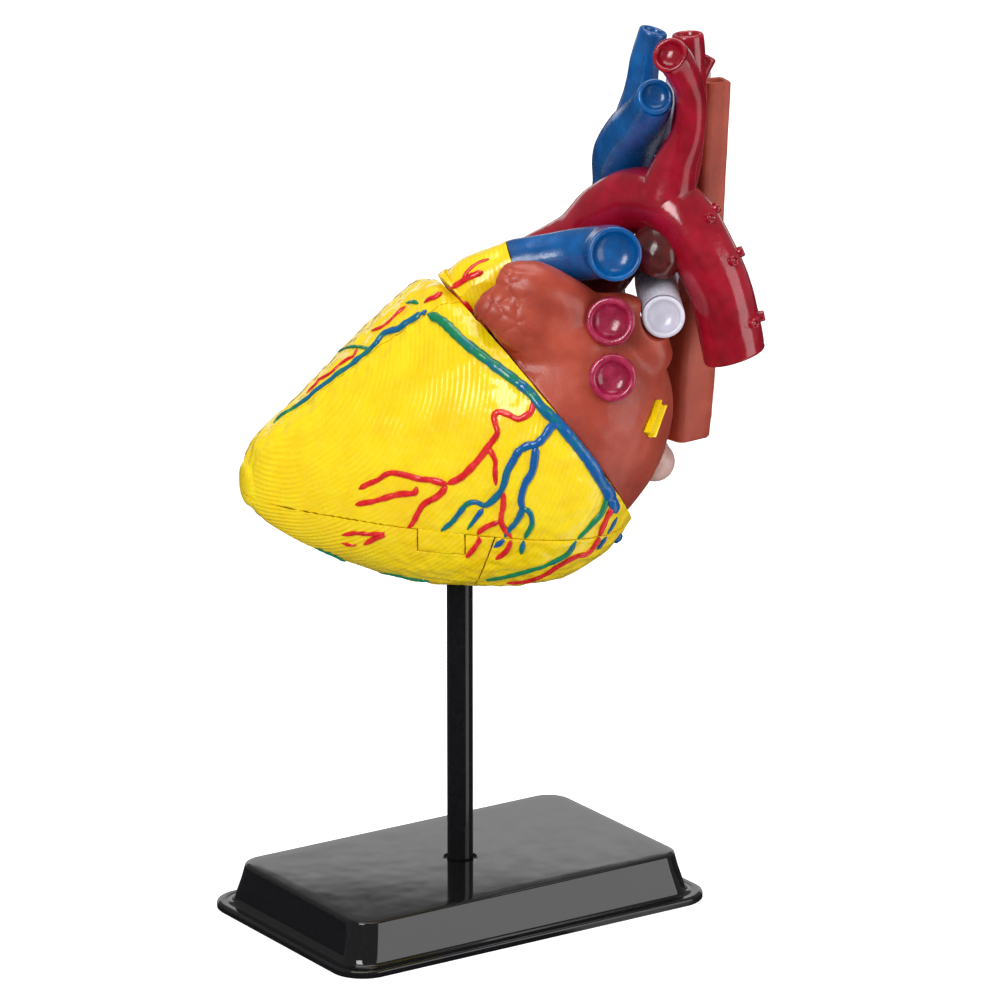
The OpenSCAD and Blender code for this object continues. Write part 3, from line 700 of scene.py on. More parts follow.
# Routes over the ventricles as points of the photograph, from the root to the tip,
# each with its half width in millimetres at both ends and, for a vein, its two tints:
# 0 is blue and 1 is green.
VEINS = {
    "sinus": (0.8, 1.0, 0.9, 0.1, [(423, 312), (443, 322), (464, 342), (494, 365), (527, 390), (542, 408),
        (556, 421), (570, 437), (582, 452), (593, 467), (601, 481), (608, 492), (613, 503), (616, 512)]),
    "anterior": (0.75, 0.4, 0.4, 0.7, [(422.5, 317), (411, 327), (398, 329.5), (385.5, 333), (379, 340), (373,
        351), (368, 358), (357, 364), (343, 375), (331, 383), (322, 389), (311, 396), (301, 403), (291, 410),
        (282, 415), (273, 424)]),
    "anterior_loop": (0.3, 0.35, 0.8, 0.8, [(338, 352), (350, 347), (365, 348), (368, 352)]),
    "anterior_root": (0.3, 0.4, 0.6, 0.8, [(406, 303), (413, 302), (419, 304)]),
    "marginal": (0.75, 0.4, 0.1, 0.6, [(562, 421), (551, 427), (544, 437), (536, 444), (527, 446), (518, 452),
        (513, 461), (507, 472), (504, 484), (498, 495), (486, 505), (476, 502), (467, 504), (460, 512), (452,
        522), (441, 531)]),
    "marginal_fork": (0.5, 0.35, 0.2, 0.7, [(483, 509), (476, 518), (467, 530)]),
    "marginal_loop": (0.65, 0.45, 0.0, 0.5, [(536, 446), (535, 456), (532, 472), (525, 484), (521, 499), (522,
        510), (516, 522), (508, 531), (503, 540), (493, 548)]),
    "marginal_tip": (0.5, 0.45, 0.5, 0.9, [(522, 507), (530, 513), (532, 524), (527, 534), (524, 540), (521,
        554)]),
    "posterior": (0.55, 0.5, 0.6, 1.0, [(607, 495), (602, 512), (591, 525), (576, 541), (567, 554), (548,
        564), (530, 570), (507, 576), (486, 580)]),
    "posterior_blue": (0.5, 0.4, 0.0, 0.3, [(617, 517), (605, 538), (597, 550)]),
    "bottom": (0.3, 0.5, 0.8, 0.9, [(316, 548), (334, 555), (352, 564), (370, 571), (392, 574), (410, 578),
        (430, 581)]),
}
ARTERIES = {
    "marginal": (0.5, 0.6, 0, 0, [(532, 401), (532, 410), (527, 415), (518, 419), (507, 414), (498, 412),
        (494, 417), (496, 426), (497, 434), (488, 447), (480, 458), (470, 469), (460, 478), (447, 484)]),
    "front_upper": (0.6, 0.45, 0, 0, [(447, 484), (431, 480), (420, 479), (405, 475), (392, 473), (385, 475),
        (378, 480), (368, 484), (359, 489)]),
    "front_lower": (0.5, 0.5, 0, 0, [(417, 487), (414, 493), (401, 494), (388, 497), (375, 501), (363, 503),
        (355, 505)]),
    "front_drop": (0.6, 0.4, 0, 0, [(447, 486), (438, 496), (424, 504), (418, 513), (412, 524), (407, 528)]),
    "side_drop": (0.5, 0.4, 0, 0, [(488, 447), (495, 460), (495, 472), (496, 486)]),
    "low_drop": (0.45, 0.5, 0, 0, [(504, 492), (503, 507), (501, 521), (506, 531), (511, 538), (507, 550),
        (496, 559)]),
    "low_fork": (0.45, 0.5, 0, 0, [(501, 521), (486, 527), (477, 535), (479, 541), (466, 558)]),
    "groove": (0.4, 0.35, 0, 0, [(357, 349), (354, 356), (348, 359), (341, 364), (331, 373), (319, 380), (317,
        383), (306, 394)]),
    "groove_top": (0.4, 0.35, 0, 0, [(406, 306), (398, 313), (390, 321), (382, 327), (371, 331)]),
    "cone_root": (0.4, 0.6, 0, 0, [(424, 303), (430, 299), (436, 297), (441, 293)]),
    "lower_front": (0.4, 0.45, 0, 0, [(342, 535), (355, 533), (369, 534), (384, 534), (374, 539), (363,
        545)]),
    "lower_front_tip": (0.4, 0.35, 0, 0, [(342, 543), (350, 545), (357, 545)]),
    "bottom": (0.3, 0.35, 0, 0, [(345, 562), (362, 569), (380, 573), (396, 579), (412, 583)]),
    "posterior": (0.6, 0.5, 0, 0, [(614, 505), (605, 521), (597, 541), (587, 553), (576, 556), (561, 564),
        (545, 574), (530, 580), (506, 583)]),
}

# routes that run along the divide, this far on its right side
DIVIDE_CLEAR = 1.2
RIGHT_OF_DIVIDE = ("anterior", "anterior_loop", "anterior_root", "groove", "groove_top")

SHELLS = {
    "left_ventricle": "left_ventricle",
    "left_tab": "left_ventricle",
    "right_ventricle": "right_ventricle",
    "lower_front": "heart_core",
    "lower_rear": "heart_core",
}


def shell_at(p, margin):
    """The name of the shell that p lies on, or None within the margin of its edge."""
    level = over_parting(p)
    if abs(level) < margin or over_valve(p) > -margin:
        return None
    if level > 0:
        side = right_of_divide(p)
        return None if abs(side) < margin else "right_ventricle" if side > 0 else "left_ventricle"
    if in_tab(p, margin):
        return "left_tab" if in_tab(p, -margin) else None
    back = behind_cut(p)
    return None if abs(back) < margin else "lower_rear" if back > 0 else "lower_front"


def trace_photo(points, clear=0.0):
    """Places on the ventricles under a route of photograph points, about half a millimetre apart.

    With clear, the route stays that far on the right side of the divide.
    """
    fine = smooth(points, 14)
    found = []
    for px, py in fine:
        hit, normal, _, _ = belly_tree.ray_cast(Vector(CAM_PLACE), Vector(sight(px, py)))
        if hit is None:
            continue
        lacks = clear - right_of_divide(np.array(hit))
        if clear and lacks > 0:
            hit, normal, _, _ = belly_tree.find_nearest(hit + Vector(DIVIDE_N) * lacks)
        found.append((np.array(hit), np.array(normal)))
    return found


def trace_grid(points):
    """Places under a route given as (distance along the ventricles, angle around them)."""
    found = []
    for along, angle in smooth(points, 16):
        rows = np.array(BELLY)
        row = curve(rows, float(np.interp(along, rows[:, 0], range(len(rows)))))
        lean, a = math.radians(row[3]), math.radians(angle)
        centre = VALVE_C + vec(-BELLY_LEN * row[0], 0, row[1])
        up = row[2] * vec(-math.sin(lean), 0, math.cos(lean))
        side = BELLY_DEPTH * (row[2] / BELLY_H) ** 0.95 * ACROSS
        place = centre + up * math.sin(a) + side * math.cos(a)
        hit, normal, _, _ = belly_tree.ray_cast(Vector(centre), Vector(unit(place - centre)))
        if hit is not None:
            found.append((np.array(hit), np.array(normal)))
    return found


CORD_STEP = 0.35  # least distance between two places along a cord
ROUTE_BREAK = 5  # a longer jump starts a new cord


def runs(found, margin=0.17):
    """Splits a route where it crosses from one shell to the next."""
    parts, name_now = [], None
    for p, n in found:
        name = shell_at(p, margin)
        if name is None:
            name_now = None
            continue
        if name != name_now or np.linalg.norm(p - parts[-1][1][-1][0]) > ROUTE_BREAK:
            parts.append((name, []))
            name_now = name
        if not parts[-1][1] or np.linalg.norm(p - parts[-1][1][-1][0]) > CORD_STEP:
            parts[-1][1].append((p, n))
    return [part for part in parts if len(part[1]) > 2]


# the vessels are drawn this much wider than their routes' rows say
CORD_GAIN = 1.4


def add_cord(bm, layer, pts, half, tints):
    """A raised cord along places on a surface; half and tints run from its root to its tip."""
    n = 10
    last = len(pts) - 1
    rings, values = [], []
    for i, (p, out) in enumerate(pts):
        out = out if np.dot(out, p - VALVE_C - vec(-30, 0, -14)) > 0 else -out
        t = i / last
        r = CORD_GAIN * (half[0] + (half[1] - half[0]) * t)
        r *= 1 + 0.22 * lumps(p, 1.6, 8.0)
        ease = min(1.0, 0.35 + 0.65 * min(i, last - i) / 2.5)
        ahead = unit(pts[min(last, i + 1)][0] - pts[max(0, i - 1)][0])
        side = unit(np.cross(out, ahead))
        a = np.linspace(0, 2 * math.pi, n, endpoint=False)
        rings.append(p + out * 0.12 * r + np.outer(np.cos(a), side) * r * ease
                     + np.outer(np.sin(a), out) * 0.72 * r * ease)
        values.append(tints[0] + (tints[1] - tints[0]) * t)
    start = len(bm.verts)
    add_skin(bm, rings)
    bm.verts.ensure_lookup_table()
    for i, value in enumerate(values):
        for j in range(n):
            bm.verts[start + i * n + j][layer] = value


# Routes on the sides that the camera doesn't see, as (share along, angle around)
HIDDEN_VEINS = {
    "right_groove": (0.9, 0.7, 0.2, 0.7, [(0.05, 300), (0.05, 280), (0.05, 255), (0.05, 230), (0.05, 205),
        (0.055, 180), (0.06, 155), (0.07, 130)]),
    "posterior_middle": (0.7, 0.4, 0.3, 0.8, [(0.06, 262), (0.16, 258), (0.28, 256), (0.42, 258), (0.56, 262),
        (0.7, 266)]),
    "small_heart": (0.5, 0.35, 0.4, 0.9, [(0.07, 200), (0.17, 205), (0.27, 204), (0.38, 210), (0.5, 214)]),
}
HIDDEN_ARTERIES = {
    "right_main": (0.8, 0.6, 0, 0, [(0.10, 118), (0.09, 135), (0.085, 160), (0.085, 185), (0.085, 210),
        (0.085, 235), (0.09, 258)]),
    "right_marginal": (0.6, 0.4, 0, 0, [(0.09, 190), (0.18, 194), (0.3, 192), (0.42, 198), (0.55, 203)]),
    "conus_branch": (0.45, 0.35, 0, 0, [(0.1, 128), (0.2, 132), (0.3, 128), (0.4, 134)]),
    "posterior_down": (0.55, 0.35, 0, 0, [(0.09, 256), (0.2, 251), (0.34, 250), (0.48, 253), (0.62, 258)]),
}


def make_coronaries():
    sets = (
        ("veins", VEINS, trace_photo), ("veins", HIDDEN_VEINS, trace_grid),
        ("arteries", ARTERIES, trace_photo), ("arteries", HIDDEN_ARTERIES, trace_grid),
    )
    meshes = {}
    for kind, routes, trace in sets:
        for route, (half_a, half_b, tint_a, tint_b, points) in routes.items():
            found = trace(points, DIVIDE_CLEAR) if route in RIGHT_OF_DIVIDE else trace(points)
            for shell, pts in runs(found):
                key = (shell, kind)
                if key not in meshes:
                    bm = bmesh.new()
                    meshes[key] = (bm, bm.verts.layers.float.new("tint"))
                bm, layer = meshes[key]
                add_cord(bm, layer, pts, (half_a, half_b), (tint_a, tint_b))
    for (shell, kind), (bm, _) in meshes.items():
        finish_piece(f"{shell}_{kind}", bm, SHELLS[shell], (),
                     MAT["veins"] if kind == "veins" else MAT["artery"], angle=80)


# ---------------------------------------------------------------- atria

LEFT_DOME = [[0, -1, 30, 32.5], [10, -0.3, 28.2, 31], [18, 1.1, 25.2, 27.5], [25, 1.6, 19.2, 21.2],
             [30, 3.2, 10, 11.6]]
LEFT_TIP = (31.8, 4.2)
ATRIUM_WALL = 2.0
RIGHT_DOME = [[0, -9.3, 23.7, 31], [7, -9.3, 23.5, 30.5], [13, -9.3, 21.5, 28], [18, -8.8, 17, 22.5],
              [21.5, -7.8, 10, 13]]
RIGHT_TIP = (22.8, -6.5)


def dome_surface(rows, tip, n, steps, height):
    """An atrium's outer face as an open bmesh; height gives its relief."""
    fine = list(smooth(rows, steps))
    last = fine[-1]
    for k in range(1, 9):
        a = math.radians(90 * k / 9)
        t = math.sin(a)
        fine.append(vec(last[0] + (tip[0] - last[0]) * t, last[1] + (tip[1] - last[1]) * (1 - math.cos(a)),
                        last[2] * math.cos(a), last[3] * math.cos(a)))
    a = np.linspace(0, 2 * math.pi, n, endpoint=False)
    rings = []
    for row in fine:
        c = on_valve(row[1], 0, row[0])
        rings.append(c - np.outer(np.sin(a), VALVE_UP) * row[2] + np.outer(np.cos(a), ACROSS) * row[3])
    middle = on_valve(0, 0, 5)
    rings = [[p + unit(p - middle) * height(p) for p in r] for r in rings]
    bm = bmesh.new()
    add_skin(bm, rings + [[rings[-1][0] * 0.5 + rings[-1][n // 2] * 0.5]], cap_start=False, cap_end=False)
    bmesh.ops.recalc_face_normals(bm, faces=bm.faces)
    top = max(bm.faces, key=lambda f: np.dot(np.array(f.calc_center_median()), VALVE_N))
    if np.dot(np.array(top.normal), VALVE_N) < 0:
        bmesh.ops.reverse_faces(bm, faces=bm.faces)
    return bm


# the locking tongue: its middle and its own directions, long, wide and out of the wall
CLIP_AT = vec(43, -21.2, 122.2)
CLIP_LONG = unit(vec(3.7, 7.2, 8.4))
CLIP_WIDE = unit(np.cross(vec(0.79, -0.6, 0.16), CLIP_LONG))
CLIP_AXES = (CLIP_LONG, CLIP_WIDE, np.cross(CLIP_LONG, CLIP_WIDE))


def atrium_relief(p):
    return 0.35 * lumps(p, 11.0, 6.0) + 0.08 * lumps(p, 3.0, 7.0)


def remeshed(bm, voxel, passes):
    """One skin around all the closed shapes of a bmesh, with its creases eased."""
    mesh = bpy.data.meshes.new("raw")
    bm.to_mesh(mesh)
    bm.free()
    raw = add_object("raw", mesh)
    modifier = raw.modifiers.new("skin", "REMESH")
    modifier.mode = "VOXEL"
    modifier.voxel_size = voxel
    graph = bpy.context.evaluated_depsgraph_get()
    result = bmesh.new()
    result.from_mesh(raw.evaluated_get(graph).to_mesh())
    bpy.data.objects.remove(raw)
    for _ in range(passes):
        bmesh.ops.smooth_vert(result, verts=result.verts, factor=0.5, use_axis_x=True, use_axis_y=True,
                              use_axis_z=True)
    return result


def add_tube(bm, path, ref):
    """A closed tube with a round tip."""
    rings = vessel_rings(path, ref, steps=10, n=48, wobble=0.0)
    d, extra = round_tip(path)
    rings += [ring(row[:3], d, row[3], row[3], ref, 48) for row in extra]
    add_skin(bm, rings + [[vec(*path[-1][:3]) + d * path[-1][3]]])


LOBE_SIZE = 4.6  # mean width of an auricle's lobes
AURICLE_TUBES = [
    [[30, -10, 141, 6.5], [23.5, -16.5, 146.6, 6.8], [16.5, -19.0, 151.5, 6.6], [13, -19.4, 153, 5.4]],
    [[30, -10, 137, 9], [22, -15.5, 141, 9], [14, -19, 144.5, 7.6], [9.2, -19.4, 146.4, 6.0]],
    [[33, -9, 134, 10], [26, -14, 136, 11], [18, -18, 139.5, 8.5], [13.5, -20, 142, 6.0]],
]


# the atrium's rear shoulder, which hugs the left bronchus
SHOULDER = [[30, -9, 141, 7], [35.5, -11, 142.5, 6.6], [39.5, -12.5, 140.5, 6.4], [42.5, -13, 135, 5.6]]
BRONCHUS_AXIS = (vec(44.3, 4, 148), vec(46.2, -23, 143.1))
BRONCHUS_ROOM = 5.25
SLOT_HALF = (4.2, 1.6, 6.0)


def off_bronchus(p):
    """p, moved out of the left bronchus's way."""
    start, end = BRONCHUS_AXIS
    t = min(1.0, max(0.0, float(np.dot(p - start, end - start) / np.dot(end - start, end - start))))
    near = start + t * (end - start)
    gap = np.linalg.norm(p - near)
    return near + (p - near) * max(1.0, BRONCHUS_ROOM / max(gap, 0.1))


def make_left_atrium():
    """The left atrium and its auricle, moulded in one."""
    n = 160
    bm = dome_surface(LEFT_DOME, LEFT_TIP, n, 14, lambda p: 0.0)
    start = [e for e in bm.edges if e.is_boundary]
    foot = bmesh.ops.extrude_edge_only(bm, edges=start)["geom"]
    for v in foot:
        if isinstance(v, bmesh.types.BMVert):
            v.co -= Vector(3 * VALVE_N)
    close_holes(bm)
    for path in AURICLE_TUBES + [SHOULDER]:
        add_tube(bm, path, Y)
    bmesh.ops.recalc_face_normals(bm, faces=bm.faces)
    bm = remeshed(bm, 0.4, 50)
    bm.normal_update()
    for v in bm.verts:
        p = np.array(v.co)
        lobe = 1 - step_up(p[0], 9, 20)
        h = atrium_relief(p)
        if lobe > 0:
            near = noise.voronoi(Vector(p) / LOBE_SIZE + Vector((1, 0, 1)))[0]
            h += 0.9 * lobe * (min(1.0, near[1] - near[0]) ** 0.5 - 0.6)
        p += np.array(v.normal) * h
        v.co = Vector(off_bronchus(p))
    cut(bm, *to_left)
    cut(bm, VALVE_C + 0.5 * SEAM * VALVE_N, VALVE_N, 1)
    half = SLOT_HALF
    for axis, reach in zip(CLIP_AXES[:2], half[:2]):
        for sign in (-1, 1):
            cut(bm, CLIP_AT + sign * reach * axis, sign * axis)
    drop(bm, lambda p: all(abs(np.dot(p - CLIP_AT, ax)) < h for ax, h in zip(CLIP_AXES, half)))
    finish_piece("left_atrium_shell", thicken(bm, ATRIUM_WALL), "left_atrium", ["left_atrium", "left_auricle"],
                 MAT["brick"])


def make_right_atrium():
    n = 220
    right = dome_surface(RIGHT_DOME, RIGHT_TIP, n, 18, atrium_relief)
    cut(right, *to_right)
    cut(right, VALVE_C + 0.5 * SEAM * VALVE_N, VALVE_N, 1)
    thicken(right, ATRIUM_WALL)
    cava = [[28, 19, 126, 5.4], [29.5, 22, 135, 5.6], [31.5, 23, 145.6, 6.0]]
    add_skin(right, vessel_rings(cava, X, face=Z))
    finish_piece("right_atrium_shell", right, "heart_core", ["right_atrium"], MAT["brick"])
    # the lobe is the atrium's own, and its pale colour is a painted highlight
    lobe = bmesh.new()
    add_tube(lobe, [[39, 13, 108, 4.2], [43.4, 12.5, 103.8, 5.0], [44.6, 12.5, 102.6, 4.7]], Y)
    finish_piece("right_atrium_lobe", lobe, "heart_core", (), MAT["lobe"])


def lobed(rings, size, depth, seed):
    """Pushes rings out into rounded lobes."""
    out = []
    for r in rings:
        r = np.array(r)
        if len(r) < 2:
            out.append(r)
            continue
        c = r.mean(axis=0)
        moved = []
        for p in r:
            near = noise.voronoi(Vector(p) / size + Vector((seed, 0, seed)))[0]
            moved.append(p + unit(p - c) * depth * (min(1.0, near[1] - near[0]) ** 0.5 - 0.55))
        out.append(np.array(moved))
    return out


def round_tip(path, rings_at=8):
    """Extra rows that close a path's last end as a half ball."""
    path = [list(map(float, row)) for row in path]
    end, before = vec(*path[-1]), vec(*path[-2])
    d = unit(end[:3] - before[:3])
    extra = []
    for k in range(1, rings_at):
        a = math.radians(90 * k / rings_at)
        extra.append(np.append(end[:3] + d * end[3] * math.sin(a), end[3] * math.cos(a)))
    return d, extra


def auricle_rings(path, ref, seed):
    rings = vessel_rings(path, ref, steps=12, n=64, wobble=0.0)
    d, extra = round_tip(path)
    rings += [ring(row[:3], d, row[3], row[3], ref, 64) for row in extra]
    rings.append([vec(*path[-1][:3]) + d * path[-1][3]])
    return lobed(rings, LOBE_SIZE, 1.0, seed)


def make_right_auricle():
    bm = bmesh.new()
    path = [[19.5, 21, 130, 5], [15.5, 25, 134.5, 5.6], [10.5, 26, 136, 4.8], [7.2, 25.7, 135, 3.2]]
    add_skin(bm, auricle_rings(path, Y, 4.0))
    cut_side(bm, SEAM)
    finish_piece("right_auricle_lobes", bm, "heart_core", ["right_auricle"], MAT["brick"])


def cut_side(bm, gap):
    """Cuts a closed piece flat at the valve plane and closes the cut."""
    cut(bm, VALVE_C + gap * VALVE_N, VALVE_N, 1)
    open_edges = [e for e in bm.edges if e.is_boundary]
    if open_edges:
        bmesh.ops.holes_fill(bm, edges=open_edges, sides=0)


# ---------------------------------------------------------------- vessels

AORTA_R = 7.3
AORTA = [
    [*on_valve(23, -13.5, -3), AORTA_R - 0.6], [*on_valve(23, -13.5, 6), AORTA_R - 0.5],
    [18, 14.2, 148.5, AORTA_R - 0.1], [27.5, 10.8, 155, AORTA_R], [33.4, 6.8, 162.4, AORTA_R],
    [40, 2.5, 166.8, AORTA_R], [46.7, -1.5, 166.4, AORTA_R], [52.3, -4.5, 160.8, AORTA_R],
    [58.6, -7, 148, AORTA_R - 0.1], [62, -8, 133.4, AORTA_R - 0.2],
]
OUTFLOW_END = vec(12.6, -5.5, 153.5)
OUTFLOW_FACE = vec(0.93, 0, 0.36)
TRUNK_R = 6.0

# name: (body, node replaced, slot, material, [vessel arguments])
VESSELS = {
    "arch_of_aorta": ("heart_core", "aorta", "crimson", "crimson", [dict(path=AORTA, ref=vec(0.35, 0.9, 0.25),
        n=72, depth=3.0, face=vec(0.3, 0, -0.95))]),
    "neck_arteries": ("heart_core", "arch_branches", "crimson", "crimson", [dict(path=[[46.4, -2, 168, 6.8],
        [48.4, -3, 176, 5.0], [51.4, -5, 184.5, 3.6], [51.6, -7, 193, 3.4], [48.8, -9.5, 200.3, 3.9], [46.8,
        -11, 203, 4.1]], ref=Y, depth=2.0, face=vec(-0.35, -0.75, 0.5)), dict(path=[[48.3, -1, 169, 4.6],
        [50.3, 0, 177, 4.2], [51.8, 1, 188, 3.7], [51.6, 1.5, 196, 3.7], [51.1, 1.5, 204.8, 3.6]], ref=Y,
        depth=1.4), dict(path=[[49, 0, 170, 4], [51, 2.5, 178, 3], [52.6, 4.5, 188, 2.2], [53.8, 4.2, 194.4,
        1.8], [55.9, 4.6, 198.9, 1.8]], ref=Y, depth=0.8, n=32, lip=0.6)]),
    "pulmonary_trunk_tube": ("pulmonary_trunk", "pulmonary_trunk", "vein_blue", "blue",
        [dict(path=[[*(OUTFLOW_END + SEAM * OUTFLOW_FACE), TRUNK_R - 0.2], [20, -7, 155.2, TRUNK_R - 0.1],
        [27.5, -9.2, 157, TRUNK_R], [33, -14, 158.8, TRUNK_R], [34.7, -21.5, 160.2, TRUNK_R + 0.1]], ref=Z,
        depth=3.2, n=64, face=vec(0.12, -0.97, 0.2), root=OUTFLOW_FACE)]),
    "vena_cava_tube": ("vena_cava", "vena_cava_superior", "vein_blue", "blue", [dict(path=[[31.5, 23, 145.6 +
        SEAM, 6], [34.2, 23, 156, 6.1], [36.3, 20.8, 165, 6.2], [37, 17, 173, 6.9], [39.2, 12, 179.5, 6.5],
        [41.8, 3.5, 185.5, 5.4], [43.8, -5.5, 192.3, 4.1]], ref=X, depth=1.6, face=vec(0.2, -0.9, 0.38),
        root=Z), dict(path=[[37, 18, 170, 6], [39.4, 17.5, 181, 4.6], [41.3, 17, 190, 3.7], [42, 16.8, 196,
        3.4], [43.8, 16.5, 202.4, 3.3]], ref=X, depth=1.2)]),
    "left_veins": ("left_atrium", "left_pulmonary_veins", "crimson", "magenta", [dict(path=[[33.9, -8, 141,
        4.5], [33.8, -15, 143.3, 5], [33.7, -22.5, 145, 5.5]], ref=X, depth=2.4, face=vec(-0.1, -0.96, 0.26),
        wobble=0.25, lip=1.5), dict(path=[[34.2, -14, 130.5, 4.5], [34.2, -21, 132.4, 4.9], [34.2, -29, 133.7,
        5.3]], ref=X, depth=1.9, face=vec(0.05, -0.98, 0.2), wobble=0.3, lip=1.5)]),
    "right_veins": ("heart_core", "right_pulmonary_veins", "crimson", "magenta", [dict(path=[[36, 14, 124,
        4.3], [37.5, 22, 124, 4.5], [39, 31, 124, 4.7]], ref=X, depth=2.4, wobble=0.2), dict(path=[[38, 12,
        112, 4.3], [40.5, 20, 112, 4.5], [43, 29, 111.6, 4.7]], ref=X, depth=2.4, wobble=0.2)]),
    "lower_cava_stub": ("heart_core", "inferior_vena_cava", "vein_blue", "blue", [dict(path=[[29, 20, 111, 5],
        [31.5, 24, 103, 5], [34.5, 27, 94, 5]], ref=X, depth=2.8)]),
    "right_artery_stub": ("heart_core", "right_pulmonary_artery", "vein_blue", "blue", [dict(path=[[27.2, 18,
        134, 4], [27.6, 27, 138.6, 4], [27.6, 36, 140, 4]], ref=X, depth=2.4)]),
    "ligament_cord": ("heart_core", "arterial_ligament", "crimson", "dark_red", [dict(path=[[43.5, -8.5,
        152.2, 2.5], [44, -8, 153.4, 4.6], [45.4, -4, 157, 6.4], [46.4, 2, 158.5, 6.2], [46.4, 6, 159.5,
        5.4]], ref=X, wobble=0.5), dict(path=[[28.5, 4, 147, 4.4], [32, 2, 148.6, 4.8], [35, 0, 151.5, 4.8],
        [37.5, -1, 156, 5.2]], ref=Y, wobble=0.5), dict(path=[[29, 3, 146, 4.4], [33, 4, 146.5, 4.4], [37,
        4.5, 147, 3.2]], ref=Y, wobble=0.3)]),
    "windpipe": ("airway", "trachea", "pale_airway", "pale", [dict(path=[[47.4, 16.5, 153, 5], [48.6, 16.5,
        167, 5], [50.4, 16.5, 181, 5], [52, 16.5, 193.5, 5]], ref=X, depth=2.0, root=Z)]),
    "left_bronchus_tube": ("airway", "left_bronchus", "pale_airway", "pale", [dict(path=[[47.4, 16.5, 152.7,
        4.8], [44.9, 12, 149.8, 4.4], [44.3, 4, 148, 4.7], [45.7, -16, 144.4, 4.8]], ref=X, depth=2.2,
        face=vec(-0.1, -0.96, 0.24))]),
    "right_bronchus_tube": ("airway", "right_bronchus", "pale_airway", "pale", [dict(path=[[47.6, 16.5, 152.7,
        4.4], [49.5, 24, 149, 4.4], [53, 34, 137, 4.4], [54.4, 37.5, 122, 4.4], [54.4, 38, 106, 4.1]], ref=X,
        depth=2.0)]),
}


def make_vessels():
    for name, (body, node, slot, mat, tubes) in VESSELS.items():
        bm = bmesh.new()
        for tube in tubes:
            add_skin(bm, vessel_rings(**tube))
        if name in ("arch_of_aorta", "lower_cava_stub"):
            cut_side(bm, SEAM)
        finish_piece(name, bm, body, [node], MAT[mat], angle=60)


# routes over the cone, as points of the photograph
CONE_ARTERIES = [
    (0.75, 0.6, [(452, 291), (458, 298), (465, 304), (470, 311), (473, 318)]),
    (0.45, 0.6, [(447, 289), (453, 287), (460, 283), (468, 278), (477, 274), (484, 272)]),
    (0.35, 0.3, [(462, 281), (468, 271), (478, 263), (489, 259)]),
]


def make_outflow():
    """The yellow cone between the right ventricle and the pulmonary trunk."""
    bm = bmesh.new()
    path = [[*on_valve(26.6, 3.0, -3), 10.0], [*on_valve(26.4, 3.2, 3), 9.6], [6.2, -4.5, 148.6, 8.0],
            [*OUTFLOW_END, TRUNK_R - 0.2]]
    add_skin(bm, vessel_rings(path, Y, steps=16, n=64, face=OUTFLOW_FACE, wobble=0.35))
    cut_side(bm, SEAM)
    cut(bm, DIVIDE_C - SEAM * DIVIDE_N, DIVIDE_N, 1)
    close_holes(bm)
    tree = BVHTree.FromBMesh(bm)
    finish_piece("pulmonary_cone", bm, "heart_core", ["pulmonary_outflow"], MAT["yellow"])
    cords = bmesh.new()
    layer = cords.verts.layers.float.new("tint")
    for half_a, half_b, points in CONE_ARTERIES:
        found = []
        for px, py in smooth(points, 10):
            hit, normal, _, _ = tree.ray_cast(Vector(CAM_PLACE), Vector(sight(px, py)))
            if hit is not None and (not found or (hit - Vector(found[-1][0])).length > CORD_STEP):
                found.append((np.array(hit), np.array(normal)))
        if len(found) > 2:
            add_cord(cords, layer, found, (half_a, half_b), (0, 0))
    finish_piece("cone_arteries", cords, "heart_core", (), MAT["artery"], angle=80)


STUB_PLACES = (6.85, 7.6, 8.45)  # places along the aorta's rows


def make_stubs():
    """Pairs of small cut arteries along the rear of the descending aorta."""
    bm = bmesh.new()
    rows = np.array(AORTA)
    for t in STUB_PLACES:
        for s in (0, 1):
            p = curve(rows, t)[:3]
            d = unit(curve(rows, t + 0.05)[:3] - p)
            aim = unit(unit(np.cross(-Y, d)) + 0.9 * s * -Y)
            base, end = p + aim * (AORTA_R - 0.7), p + aim * (AORTA_R + 0.7)
            path = [[*base, 2.6], [*(base + 0.5 * (end - base)), 1.7], [*end, 1.25]]
            add_skin(bm, vessel_rings(path, d, steps=6, n=28, depth=0.35, wobble=0.35, lip=0.55))
    finish_piece("rib_artery_stubs", bm, "heart_core", ["intercostal_stubs"], MAT["crimson"])


ESOPHAGUS_W = 7.0
ESOPHAGUS_Y = 8.8
# rows of [x, z, half diagonal as a share of the width, turn]
ESOPHAGUS = [
    [50.9, 109.6, 0.86, 40], [51.6, 124, 0.92, 37], [53.0, 137, 0.82, 33],
    [54.6, 148, 0.66, 30], [56.2, 170, 0.57, 25], [57.5, 192.8, 0.53, 20],
]


